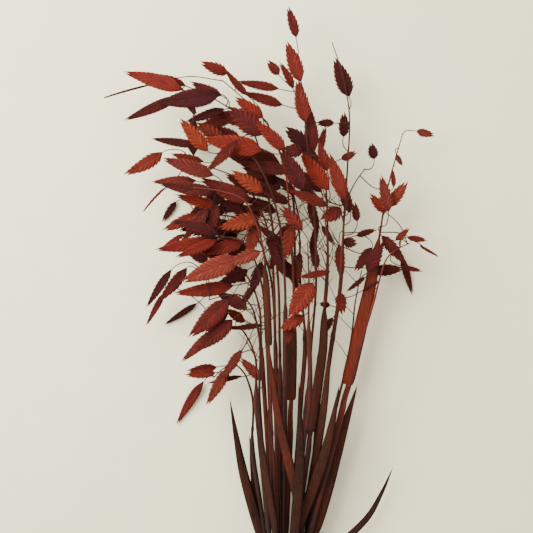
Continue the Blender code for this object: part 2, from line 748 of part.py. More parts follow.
def blade_ribs(path, width, shares, roll):
    """Ribs of a leaf along a path; shares are its width at each point over the greatest."""
    ribs = []
    for i, point in enumerate(path):
        along = (path[min(i + 1, len(path) - 1)] - path[max(i - 1, 0)]).normalized()
        side, face = frame_of(along, math.radians(roll))
        half = side * (0.5 * width * max(shares[i], 0.05))
        ribs.append((point, -half, half, face * BLADE_THICKNESS))
    return ribs


def bear_blade(stems, blade, crowd):
    """Lays one leaf blade from the culm nearest its root that lets it pass clear of the rest."""
    x, y, tip, width, bow, roll = blade
    tip = Vector(tip) * MM
    near = sorted(stems, key=lambda s: abs(at_height(s, y * MM).x - x * MM))
    for k in range(31):
        lift = (k + 1) // 2 * (1 if k % 2 else -1) * 2.5 * MM
        for stem in near[:9]:
            root = at_height(stem, y * MM)
            rise = tip - root
            leave = at_height(stem, root.y + 0.16 * rise.y)
            out = (tip + UP * lift - leave).normalized()
            leave = leave + (out - Vector((0, 1, 0)) * out.y) * 9 * MM
            middle = leave.lerp(tip + UP * lift, 0.5) + Vector((bow * MM, 0, lift * 0.3))
            end = tip + UP * lift
            if end.z < 4 * MM:
                continue
            path = smooth_path([root, leave, middle, end], 2)
            ribs = blade_ribs(path, width * MM, (0.2, 0.5, 0.85, 1.0, 0.88, 0.52, 0.0), roll)
            if lowest(ribs) > GAP and crowd.clear(stem.name, ribs, ("culm", "blade")):
                crowd.add_ribs(stem.name, "blade", ribs)
                return stem, ribs
    print("no room for blade", blade)
    return None


def bear_wrap(stem, low, high, width, crowd):
    """Lays one loose sheath, square at its foot, along a stem's own line."""
    shares = (0.0, 0.9, 1.0, 0.98, 0.9, 0.7, 0.0)
    rises = (0.0, 0.015, 0.2, 0.42, 0.65, 0.86, 1.0)
    path = [at_height(stem, blend(low, high, r) * MM) for r in rises]
    for k in range(24):
        roll = (k + 1) // 2 * (1 if k % 2 else -1) * 7.5
        ribs = blade_ribs(path, width * MM, shares, roll)
        ribs = [(centre, left, right, rise * 1.8) for centre, left, right, rise in ribs]
        if crowd.clear(stem.name, ribs, ("culm", "blade")):
            crowd.add_ribs(stem.name, "blade", ribs)
            return ribs
    print("no room for wrap", stem.name)
    return None


def culm_objects(stems):
    """The culms as capped five-sided tubes, each from a curve along the stem's line."""
    ring = bpy.data.curves.new("ring", "CURVE")
    outline = ring.splines.new("POLY")
    outline.points.add(CULM_SIDES - 1)
    outline.use_cyclic_u = True
    for i, point in enumerate(outline.points):
        turn = 2 * math.pi * i / CULM_SIDES
        point.co = (math.cos(turn), math.sin(turn), 0, 1)
    ring_object = bpy.data.objects.new("ring", ring)
    bunch.objects.link(ring_object)
    curves = [ring_object]
    for stem in stems:
        data = bpy.data.curves.new(stem.name, "CURVE")
        data.dimensions = "3D"
        data.bevel_mode = "OBJECT"
        data.bevel_object = ring_object
        data.use_fill_caps = True
        spline = data.splines.new("POLY")
        spline.points.add(len(stem.line) - 1)
        for point, (place, radius) in zip(spline.points, stem.line):
            point.co = (*place, 1.0)
            point.radius = radius
        curve = bpy.data.objects.new(stem.name + " line", data)
        bunch.objects.link(curve)
        curves.append(curve)
    bpy.context.view_layer.update()
    ready = bpy.context.evaluated_depsgraph_get()
    for stem, curve in zip(stems, curves[1:]):
        mesh = bpy.data.meshes.new_from_object(curve.evaluated_get(ready))
        shape = bmesh.new()
        shape.from_mesh(mesh)
        bmesh.ops.remove_doubles(shape, verts=shape.verts[:], dist=0.0001)
        bmesh.ops.recalc_face_normals(shape, faces=shape.faces[:])
        bmesh.ops.triangulate(shape, faces=shape.faces[:])
        shape.to_mesh(mesh)
        shape.free()
        mesh.name = stem.name
        stem.culm = bpy.data.objects.new(stem.name, mesh)
    for curve in curves:
        bpy.data.objects.remove(curve)


def paint(thing, colour, rough):
    """Gives an object its own plain material."""
    material = bpy.data.materials.new(thing.name)
    material.use_nodes = True
    shader = material.node_tree.nodes["Principled BSDF"]
    shader.inputs["Base Color"].default_value = (*colour, 1)
    shader.inputs["Roughness"].default_value = rough
    material.diffuse_color = (*colour, 1)
    thing.data.materials.clear()
    thing.data.materials.append(material)


def join_stem(stem, pieces):
    """One solid of a culm and all that grows on it, by one union over a collection."""
    growth = bpy.data.collections.new(stem.name + " growth")
    bpy.context.scene.collection.children.link(growth)
    for i, ribs in enumerate(pieces):
        growth.objects.link(lens_solid(f"{stem.name} {i}", ribs))
    bunch.objects.link(stem.culm)
    union = stem.culm.modifiers.new("Grown together", "BOOLEAN")
    union.operation = "UNION"
    union.operand_type = "COLLECTION"
    union.collection = growth
    union.solver = "MANIFOLD"  # EXACT leaves open edges where the thin stalks meet a culm
    bpy.context.view_layer.update()
    ready = bpy.context.evaluated_depsgraph_get()
    whole = bpy.data.meshes.new_from_object(stem.culm.evaluated_get(ready))
    shape = bmesh.new()
    shape.from_mesh(whole)
    bmesh.ops.dissolve_limit(
        shape, angle_limit=math.radians(FLAT_WITHIN), verts=shape.verts[:], edges=shape.edges[:]
    )
    bmesh.ops.triangulate(shape, faces=shape.faces[:])
    shape.to_mesh(whole)
    shape.free()
    stem.culm.modifiers.clear()
    stem.culm.data = whole
    for thing in list(growth.objects):
        bpy.data.objects.remove(thing)
    bpy.data.collections.remove(growth)


def turned_tie(waist_radius, waist_z):
    """Three turns of twine, turned as one ribbed ring with a flat facet down on the table."""
    inner = (waist_radius + GAP) / math.cos(math.pi / TIE_FACETS)
    outer = (waist_radius + GAP + TWINE) / math.cos(math.pi / TIE_FACETS)
    groove = blend(inner, outer, 0.5)
    profile = [(-TIE_HALF, inner), (-TIE_HALF, groove)]
    for turn in range(TIE_TURNS):
        start = turn * TWINE - TIE_HALF
        profile += [(start + 0.2 * TWINE, outer), (start + 0.8 * TWINE, outer), (start + TWINE, groove)]
    profile.append((TIE_HALF, inner))
    shape = bmesh.new()
    half_facet = Matrix.Rotation(math.pi / TIE_FACETS, 3, "Y")
    ring = [shape.verts.new(half_facet @ Vector((0, y, -radius))) for y, radius in profile]
    for a, b in zip(ring, ring[1:] + ring[:1]):
        shape.edges.new((a, b))
    mesh = bpy.data.meshes.new("tie")
    shape.to_mesh(mesh)
    shape.free()
    tie = bpy.data.objects.new("tie", mesh)
    tie.location = (0, 0, waist_z)
    bunch.objects.link(tie)
    turned = tie.modifiers.new("Turned", "SCREW")
    turned.axis = "Y"
    turned.steps = TIE_FACETS
    turned.render_steps = TIE_FACETS
    turned.use_merge_vertices = True
    turned.merge_threshold = 0.00001
    turned.use_normal_calculate = True
    turned.use_smooth_shade = False
    return tie


for old in list(bpy.data.objects):
    bpy.data.objects.remove(old)

bunch = bpy.data.collections.new("sea_oat_bunch")
bpy.context.scene.collection.children.link(bunch)

waist_radius = give_slots(STEMS)
waist_z = waist_radius + GAP + TWINE
settle_culms(STEMS, waist_z)
raise_axes(STEMS)
culm_objects(STEMS)

crowd = Crowd()
growth_of = {}
for stem in STEMS:
    crowd.add_mesh(stem.name, "culm", stem.culm.data)
    growth_of[stem.name] = []
for name, low, high, width in WRAPS:
    stem = next(s for s in STEMS if s.name == name)
    ribs = bear_wrap(stem, low, high, width, crowd)
    if ribs:
        growth_of[name].append(ribs)
for blade in BLADES:
    borne = bear_blade(STEMS, blade, crowd)
    if borne:
        growth_of[borne[0].name].append(borne[1])
draw = random.Random(SEED)
ways_of = {stem.name: [] for stem in STEMS}
for stem in STEMS:
    stem.starts = stalk_starts(stem)
for spikelet in SPIKELETS:
    hung = hang_spikelet(STEMS, spikelet, crowd, draw)
    if hung:
        ways_of[hung[0].name].append(hung[1])
middles = [base + along * (0.5 * length) for ways in ways_of.values()
           for _, _, base, along, _, length, *_ in ways]
for i, stem in enumerate(STEMS):
    draw = random.Random(SEED * 100 + i)
    missing = max(0, stem.least - len(ways_of[stem.name]))
    ways_of[stem.name] += fill_out(stem, missing, crowd, draw, middles)
    growth_of[stem.name] += [spikelet_ribs(*way) for way in ways_of[stem.name]]

DYES = [
    (0.17, 0.035, 0.025),
    (0.26, 0.055, 0.035),
    (0.36, 0.085, 0.035),
    (0.12, 0.028, 0.024),
    (0.22, 0.07, 0.05),
]
for i, stem in enumerate(STEMS):
    join_stem(stem, growth_of[stem.name])
    paint(stem.culm, DYES[i % len(DYES)], 0.75)
tie = turned_tie(waist_radius, waist_z)
paint(tie, (0.42, 0.30, 0.17), 0.9)
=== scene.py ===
import math
import random

import bmesh
import bpy
import numpy as np
from mathutils import Matrix, Vector
from mathutils.bvhtree import BVHTree


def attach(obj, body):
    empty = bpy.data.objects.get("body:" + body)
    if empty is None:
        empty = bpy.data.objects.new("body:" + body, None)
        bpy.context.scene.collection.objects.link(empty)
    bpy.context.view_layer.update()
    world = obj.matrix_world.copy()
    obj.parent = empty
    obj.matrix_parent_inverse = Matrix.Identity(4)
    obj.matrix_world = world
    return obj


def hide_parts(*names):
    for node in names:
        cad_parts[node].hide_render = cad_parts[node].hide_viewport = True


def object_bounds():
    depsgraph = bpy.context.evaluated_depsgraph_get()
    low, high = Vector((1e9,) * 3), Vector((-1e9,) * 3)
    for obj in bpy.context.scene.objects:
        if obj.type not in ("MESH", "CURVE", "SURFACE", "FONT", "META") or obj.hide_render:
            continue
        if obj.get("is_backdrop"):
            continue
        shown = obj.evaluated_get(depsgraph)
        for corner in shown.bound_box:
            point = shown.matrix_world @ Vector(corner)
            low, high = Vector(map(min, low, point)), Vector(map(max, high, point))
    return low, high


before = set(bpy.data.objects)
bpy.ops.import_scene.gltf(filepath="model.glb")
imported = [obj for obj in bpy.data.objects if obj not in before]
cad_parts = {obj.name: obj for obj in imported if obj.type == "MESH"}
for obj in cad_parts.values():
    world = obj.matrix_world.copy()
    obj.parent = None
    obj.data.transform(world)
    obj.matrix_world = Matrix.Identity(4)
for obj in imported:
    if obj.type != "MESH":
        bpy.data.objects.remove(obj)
cad_low, cad_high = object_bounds()

# ---------------------------------------------------------------------------------------
# Culms. Twenty-two cut grass stems, stripped of most leaves and dyed through. Each is a thin
# hard straw with a joint every hand's breadth. It tapers upwards and goes on as the nodding
# axis of its panicle. They are held at the waist by the tie and lie fanned out on the table.

MM = 0.001
SEED = 11                     # every draw starts from it, so each run gives the same bunch
UP = Vector((0, 0, 1))
CUT_END_Y = -90 * MM          # where the cut ends are, on the other side of the tie
FOOT_FLARE = (1.8, 1.2)       # how much further apart they stand there, across and upwards
STATION_STEP = 45 * MM        # spacing of the sections at which the culms are laid side by side
LOWER_Y = 69 * MM             # from the tie to the lower section of the fan
LOWER_LEFT, LOWER_WIDTH = -23 * MM, 53 * MM
LOWER_RISE, FAN_RISE = 0.3, 0.7  # how much of the way up to the neck is done at each section
FAN_Y = 178 * MM              # from the tie to its upper section
FAN_LEFT, FAN_WIDTH = -26 * MM, 80 * MM
GAP = 0.3 * MM                # clearance left between two separate stems
SETTLE_TURNS = 160            # rounds in which the culms are pushed apart
EASING = 0.15                 # how far each round straightens them
FOOT_RADIUS = 1.3 * MM        # at the cut end
NECK_RADIUS = 0.95 * MM       # where the panicle begins
CROWN_RADIUS = 0.5 * MM       # tip of the panicle's axis
AXIS_SLIMMING = 0.85          # the axis over its radius in the plain solid
AXIS_STEPS = 2                # straight pieces from neck to bend, and from bend to crown
AXIS_LIFTS = 25               # lifts tried for each axis
LOWEST_AXIS = 6 * MM
SHEATH_RADIUS = 1.9 * MM      # culm with a leaf sheath wrapped round it
SHEATH_LIP = 1.5 * MM         # length of the step at which the sheath begins
SHEATH_FADE = 8 * MM          # length over which it thins out at its end
SHEATH_MARGIN = 5 * MM        # how far past it the culms still make room for it
CULM_SIDES = 5                # of the plain culms that other pieces are kept clear of
CULM_PACE = 3 * MM            # spacing of the points along a finished culm
CULM_TONES = (0.08, 0.66)     # the darkest and the reddest straw
TIE_TURNS = 3
TWINE = 2.0 * MM              # thickness of the twine
TIE_HALF = 0.5 * TIE_TURNS * TWINE
JOINT_PITCH = 118 * MM        # from one joint of the straw to the next
JOINT_RISE = 0.34 * MM        # how far a joint stands proud
JOINT_HALF = 2.2 * MM         # half its length
LAST_JOINT = 30 * MM          # no joint is nearer to the neck
SLOTS = ["maroon_dye", "red_dye", "rust_dye", "dark_dye", "brown_dye"]


class Stem:
    """One cut stem. Places are x, y, z in millimetres from the origin under the tie.

    neck, bend and crown lead the panicle's axis. hang is the way its spikelets point at the
    neck and at the crown, in degrees round +Z from +X, and spread how far they part from it
    to either side. length is the longest of them. sheath is where its leaf sheath begins and
    ends. least is how many spikelets it has at the least, with those hidden under others.
    """

    def __init__(self, name, neck, bend, crown, hang, length, sheath, spread=17, least=10):
        self.name = name
        self.neck, self.bend, self.crown = (Vector(p) * MM for p in (neck, bend, crown))
        self.hang = hang
        self.length = length * MM
        self.sheath_foot, self.sheath_end = (y * MM for y in sheath)
        self.spread = spread
        self.least = least


STEMS = [
    Stem("reach", (-11, 336, 44), (-28, 402, 50), (-80, 434, 46),
         (196, 160), 50, (96, 200), least=7),
    Stem("crest", (8, 345, 30), (-12, 402, 34), (-50, 440, 32),
         (182, 156), 42, (40, 150)),
    Stem("plume", (-4, 326, 60), (-26, 376, 66), (-74, 400, 60),
         (192, 166), 46, (120, 250)),
    Stem("drift", (-12, 316, 18), (-34, 358, 18), (-78, 374, 15),
         (198, 172), 43, (64, 190)),
    Stem("mane", (-16, 300, 70), (-32, 340, 74), (-72, 350, 64),
         (204, 178), 47, (34, 130)),
    Stem("fringe", (-13, 290, 10), (-34, 326, 10), (-74, 330, 10),
         (206, 184), 43, (80, 220)),
    Stem("veil", (-18, 275, 50), (-34, 308, 54), (-68, 310, 44),
         (214, 190), 47, (50, 160)),
    Stem("tress", (-20, 256, 28), (-36, 286, 28), (-68, 284, 24),
         (222, 202), 43, (100, 210)),
    Stem("sweep", (-21, 240, 62), (-34, 264, 64), (-60, 260, 54),
         (226, 206), 47, (20, 120)),
    Stem("trail", (-23, 214, 38), (-37, 238, 38), (-56, 230, 30),
         (238, 214), 45, (70, 180), least=7),
    Stem("stray", (-27, 186, 20), (-41, 206, 18), (-58, 194, 12),
         (240, 216), 40, (34, 140), least=5),
    Stem("heart", (5, 328, 50), (0, 372, 56), (-16, 402, 58),
         (176, 140), 42, (64, 170)),
    Stem("core", (14, 276, 38), (12, 330, 42), (-2, 378, 44),
         (196, 140), 41, (110, 230), spread=20),
    Stem("spire", (25, 330, 46), (18, 400, 50), (12, 460, 50),
         (132, 102), 42, (50, 180)),
    Stem("wand", (37, 318, 22), (34, 370, 22), (22, 420, 20),
         (154, 120), 38, (94, 210)),
    Stem("amber", (20, 244, 66), (20, 274, 72), (19, 306, 74),
         (236, 140), 46, (154, 235), spread=26),
    Stem("sprig", (33, 262, 58), (35, 304, 62), (30, 350, 64),
         (206, 112), 40, (34, 140), spread=24),
    Stem("whip", (50, 326, 32), (54, 416, 34), (40, 470, 38),
         (112, 104), 31, (110, 190), spread=34, least=5),
    Stem("spray", (47, 296, 50), (52, 342, 52), (66, 366, 48),
         (70, 84), 25, (64, 150), spread=46, least=0),
    Stem("outer", (80, 318, 34), (86, 352, 32), (100, 398, 16),
         (84, 20), 31, (80, 180), spread=34, least=6),
    Stem("edge", (74, 262, 50), (84, 294, 50), (103, 306, 38),
         (-64, 8), 33, (70, 170), spread=34, least=5),
    Stem("low", (57, 226, 16), (60, 254, 14), (66, 284, 12),
         (262, 318), 27, (20, 134), spread=50, least=4),
]


def smooth_path(knots, steps):
    """Points of one smooth curve through the knots, with this many steps from knot to knot."""
    ends = [2 * knots[0] - knots[1], *knots, 2 * knots[-1] - knots[-2]]
    path = []
    for a, b, c, d in zip(ends, ends[1:], ends[2:], ends[3:]):
        for i in range(steps):
            t = i / steps
            bend = (2 * a - 5 * b + 4 * c - d) * t * t + (3 * b - a - 3 * c + d) * t**3
            path.append(0.5 * (2 * b + (c - a) * t + bend))
    path.append(knots[-1].copy())
    return path


def blend(a, b, share):
    return a + (b - a) * share


def bare_radius(stem, y):
    """The culm without its sheaths, which tapers from the cut end to the neck."""
    rise = (y - CUT_END_Y) / (stem.neck.y - CUT_END_Y)
    return blend(FOOT_RADIUS, NECK_RADIUS, max(0.0, min(1.0, rise)))


def culm_radius(stem, y):
    """The culm at this height, with the leaf sheath round it where there is one."""
    radius = bare_radius(stem, y)
    past = (y - stem.sheath_end) / SHEATH_FADE
    if y < stem.sheath_foot or past > 1:
        return radius
    return blend(SHEATH_RADIUS, radius, max(0.0, past))


def waist_slots(count):
    """Places of the culms inside the tie, packed as closely as they go, in columns along Z."""
    pitch = 2 * FOOT_RADIUS + GAP
    column = pitch * math.sqrt(3) / 2
    spots = [
        (i * column, (j + 0.5 * (i % 2)) * pitch) for i in range(-5, 6) for j in range(-5, 6)
    ]
    centre = (column / 3, pitch / 2)
    spots.sort(key=lambda s: (round(math.dist(s, centre), 6), s))
    spots = sorted(spots[:count])
    middle = [sum(axis) / count for axis in zip(*spots)]
    return [(x - middle[0], z - middle[1]) for x, z in spots]


def give_slots(stems):
    """Gives each stem its slot, in the order the fan has from left to right and from the
    table up, and returns the radius of the whole waist."""
    slots = waist_slots(len(stems))
    waiting = sorted(stems, key=lambda s: s.neck.x)
    for column in sorted({round(x, 6) for x, _ in slots}):
        here = [s for s in slots if abs(s[0] - column) < 1e-5]
        group, waiting = waiting[: len(here)], waiting[len(here) :]
        for stem, slot in zip(sorted(group, key=lambda s: s.neck.z), here):
            stem.slot = slot
    return max(math.hypot(*s.slot) for s in stems) + FOOT_RADIUS


def settle_culms(stems, waist_z):
    """Lays the culms side by side from the cut ends to the necks, pushed apart where they meet.
    Every stretch between two sections is pushed as a whole, but not the one inside the tie."""
    top = max(s.neck.y for s in stems)
    heights = np.concatenate([
        np.arange(CUT_END_Y, -0.5 * STATION_STEP, STATION_STEP),
        [-TIE_HALF, TIE_HALF],
        np.arange(STATION_STEP, top, STATION_STEP),
    ])
    tied = np.abs(heights) < 2 * TIE_HALF
    count = len(stems)
    place = np.zeros((count, len(heights), 2))
    radius = np.zeros((count, len(heights)))
    used = np.zeros((count, len(heights)), bool)
    ranked = sorted(stems, key=lambda s: s.neck.x)
    for i, stem in enumerate(stems):
        lane = ranked.index(stem) / (count - 1)
        slot_x, slot_z = stem.slot
        start_z = waist_z + slot_z
        lower_x = LOWER_LEFT + lane * LOWER_WIDTH
        fan_y = min(FAN_Y, stem.neck.y - 2 * STATION_STEP)
        fan_x = blend(lower_x, FAN_LEFT + lane * FAN_WIDTH, (fan_y - LOWER_Y) / (FAN_Y - LOWER_Y))
        knots = [
            Vector((FOOT_FLARE[0] * slot_x, CUT_END_Y, waist_z + FOOT_FLARE[1] * slot_z)),
            Vector((slot_x, -TIE_HALF, start_z)),
            Vector((slot_x, TIE_HALF, start_z)),
            Vector((lower_x, LOWER_Y, blend(start_z, stem.neck.z, LOWER_RISE))),
            Vector((fan_x, fan_y, blend(start_z, stem.neck.z, FAN_RISE))),
            stem.neck,
        ]
        path = np.array(smooth_path(knots, 12))
        place[i, :, 0] = np.interp(heights, path[:, 1], path[:, 0])
        place[i, :, 1] = np.interp(heights, path[:, 1], path[:, 2])
        radius[i] = [
            max(culm_radius(stem, y - SHEATH_MARGIN), culm_radius(stem, y + SHEATH_MARGIN))
            for y in heights
        ]
        used[i] = heights < stem.neck.y - 0.5 * STATION_STEP
    for turn in range(SETTLE_TURNS):
        for s in range(len(heights) - 1):
            if tied[s] and tied[s + 1]:
                continue
            on = np.flatnonzero(used[:, s])
            low = place[on, None, s] - place[None, on, s]
            high = place[on, None, s + 1] - place[None, on, s + 1]
            run = high - low
            share = -(low * run).sum(-1) / np.maximum((run * run).sum(-1), 1e-12)
            share = np.clip(share, 0, 1)[..., None]
            apart = low + share * run
            far = np.hypot(apart[..., 0], apart[..., 1]) + np.eye(len(on))
            thick = np.maximum(radius[on, s], radius[on, s + 1])
            want = thick[:, None] + thick[None] + 2 * GAP
            push = (np.clip(want - far, 0, None) * (1 - np.eye(len(on))) / far)[..., None] * apart
            if not tied[s]:
                place[on, s] += 0.5 * (push * (1 - share)).sum(1)
            if not tied[s + 1]:
                place[on, s + 1] += 0.5 * (push * share).sum(1)
        for s in range(1, len(heights) - 1):
            if turn < SETTLE_TURNS // 2 and not tied[s]:
                inner = np.flatnonzero(used[:, s + 1])
                middle = (place[inner, s - 1] + place[inner, s + 1]) / 2
                place[inner, s] += EASING * (middle - place[inner, s])
        place[..., 1] = np.maximum(place[..., 1], radius + 2 * GAP)
    for i, stem in enumerate(stems):
        stem.laid = [
            Vector((place[i, s, 0], heights[s], place[i, s, 1]))
            for s in range(len(heights)) if used[i, s]
        ]


def lead_line(stem, lift):
    """Gives the stem its line of (point, radius) from cut end to crown, and its panicle's axis."""
    raised = [
        stem.neck + UP * (lift / 2),
        stem.bend + UP * lift,
        stem.crown + UP * lift,
    ]
    axis = smooth_path([stem.laid[-1], *raised], AXIS_STEPS)[AXIS_STEPS:]
    line = []
    for a, b in zip(stem.laid, stem.laid[1:] + axis[:1]):
        line.append((a, culm_radius(stem, a.y)))
        if a.y < stem.sheath_foot < b.y:
            step = a.lerp(b, (stem.sheath_foot - a.y) / (b.y - a.y))
            line.append((step, bare_radius(stem, stem.sheath_foot)))
            line.append((step + (b - a).normalized() * SHEATH_LIP, SHEATH_RADIUS))
    for i, point in enumerate(axis):
        line.append((point, blend(NECK_RADIUS, CROWN_RADIUS, i / (len(axis) - 1))))
    stem.axis = axis
    stem.line = line


def line_samples(line):
    """Points 1 mm apart along a line, as rows of x, y, z and radius."""
    rows = []
    for (a, radius_a), (b, radius_b) in zip(line, line[1:]):
        steps = max(1, round((b - a).length / MM))
        for i in range(steps):
            rows.append((*a.lerp(b, i / steps), blend(radius_a, radius_b, i / steps)))
    return np.array(rows)


def alternately(k):
    """The k-th of 0, 1, -1, 2, -2 and so on."""
    return (k + 1) // 2 * (1 if k % 2 else -1)


def raise_axes(stems):
    """Lifts or lowers each panicle's axis by the least amount that keeps it off other stems."""
    for stem in stems:
        lead_line(stem, 0.0)
    for stem in stems:
        others = np.concatenate([line_samples(s.line) for s in stems if s is not stem])
        best = (-1.0, 0.0)
        for k in range(AXIS_LIFTS):
            lift = alternately(k) * 2 * MM
            if min(stem.crown.z, stem.neck.z) + lift < LOWEST_AXIS:
                continue
            lead_line(stem, lift)
            own = line_samples([(stem.laid[-1], NECK_RADIUS), *stem.line[-2 * AXIS_STEPS - 1 :]])
            clear = min(
                (np.linalg.norm(others[:, :3] - p[:3], axis=1) - others[:, 3] - p[3]).min()
                for p in own
            )
            best = max(best, (clear, lift))
            if clear > 3 * GAP:
                break
        lead_line(stem, best[1])


def at_height(stem, y):
    """The point of a stem's line at this height."""
    for (a, _), (b, _) in zip(stem.line, stem.line[1:]):
        if a.y <= y <= b.y and b.y > a.y:
            return a.lerp(b, (y - a.y) / (b.y - a.y))
    return stem.line[-1][0]


def placed(name, data):
    """A new object in the scene."""
    thing = bpy.data.objects.new(name, data)
    bpy.context.scene.collection.objects.link(thing)
    return thing


def line_curve(name):
    """The curve of a rod with closed ends, so far without a line."""
    data = bpy.data.curves.new(name, "CURVE")
    data.dimensions = "3D"
    data.use_fill_caps = True
    return data


def draw_line(data, points, radii):
    """Adds a line to a curve; the rod is as thick as its radii say."""
    spline = data.splines.new("POLY")
    spline.points.add(len(points) - 1)
    spline.points.foreach_set("co", np.hstack([points, np.ones((len(points), 1))]).ravel())
    spline.points.foreach_set("radius", radii)


def sealed(shape, within):
    """Joins a shape's corners that are this near, and turns its faces outwards."""
    bmesh.ops.remove_doubles(shape, verts=shape.verts[:], dist=within)
    bmesh.ops.recalc_face_normals(shape, faces=shape.faces[:])


def mesh_of(name, shape):
    """Ends work on a shape and gives its mesh."""
    mesh = bpy.data.meshes.new(name)
    shape.to_mesh(mesh)
    shape.free()
    return mesh


def plain_culms(stems):
    """Gives each stem the five-sided rod of its plain solid, which other pieces keep clear of."""
    profile = bpy.data.curves.new("profile", "CURVE")
    ring = profile.splines.new("POLY")
    ring.points.add(CULM_SIDES - 1)
    ring.use_cyclic_u = True
    for i, point in enumerate(ring.points):
        turn = 2 * math.pi * i / CULM_SIDES
        point.co = (math.cos(turn), math.sin(turn), 0, 1)
    section = placed("profile", profile)
    rods = []
    for stem in stems:
        data = line_curve(stem.name)
        data.bevel_mode = "OBJECT"
        data.bevel_object = section
        draw_line(data, *zip(*stem.line))
        rods.append(placed(stem.name + " line", data))
    bpy.context.view_layer.update()
    ready = bpy.context.evaluated_depsgraph_get()
    for stem, rod in zip(stems, rods):
        shape = bmesh.new()
        shape.from_mesh(rod.evaluated_get(ready).to_mesh())
        sealed(shape, 0.1 * MM)
        bmesh.ops.triangulate(shape, faces=shape.faces[:])
        stem.culm = mesh_of(stem.name, shape)
    for thing in (section, *rods):
        bpy.data.objects.remove(thing)


def flowing(points, pace):
    """The same line, rounded, as an array of points no further apart than pace."""
    knots = np.array(points)
    steps = np.diff(knots, axis=0)
    lengths = np.linalg.norm(steps, axis=1)
    slopes = steps / lengths[:, None]
    before, after = lengths[:-1, None], lengths[1:, None]
    middle = (slopes[:-1] * after + slopes[1:] * before) / (before + after)
    tangents = np.vstack([slopes[:1], middle, slopes[-1:]])
    line = []
    for i, length in enumerate(lengths):
        parts = max(1, math.ceil(length / pace))
        t = (np.arange(parts) / parts)[:, None]
        line.append(
            knots[i] * (1 + 2 * t) * (1 - t) ** 2
            + tangents[i] * length * t * (1 - t) ** 2
            + knots[i + 1] * t * t * (3 - 2 * t)
            - tangents[i + 1] * length * t * t * (1 - t)
        )
    return np.vstack([*line, knots[-1:]])


def drawn_rods(name, runs, roundness):
    """A mesh of round rods with closed ends, one along each (points, radii)."""
    data = line_curve(name)
    data.bevel_depth = 1.0
    data.bevel_resolution = roundness
    for points, radii in runs:
        draw_line(data, points, radii)
    rod = placed(name, data)
    ready = bpy.context.evaluated_depsgraph_get()
    shape = bmesh.new()
    shape.from_mesh(rod.evaluated_get(ready).to_mesh())
    bpy.data.objects.remove(rod)
    bpy.data.curves.remove(data)
    sealed(shape, 0.002 * MM)
    for face in shape.faces:
        face.smooth = True
    return mesh_of(name, shape)


def tell(mesh, name, values):
    """Keeps one number for each vertex, which the piece's finish reads."""
    layer = mesh.attributes.new(name, "FLOAT", "POINT")
    layer.data.foreach_set("value", np.array(values, dtype=np.float32))


def put(mesh, finish, node):
    """Makes a mesh a piece of the bunch, in place of a plain solid."""
    piece = placed(mesh.name, mesh)
    mesh.materials.clear()
    mesh.materials.append(finish)
    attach(piece, "root")
    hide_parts(node)


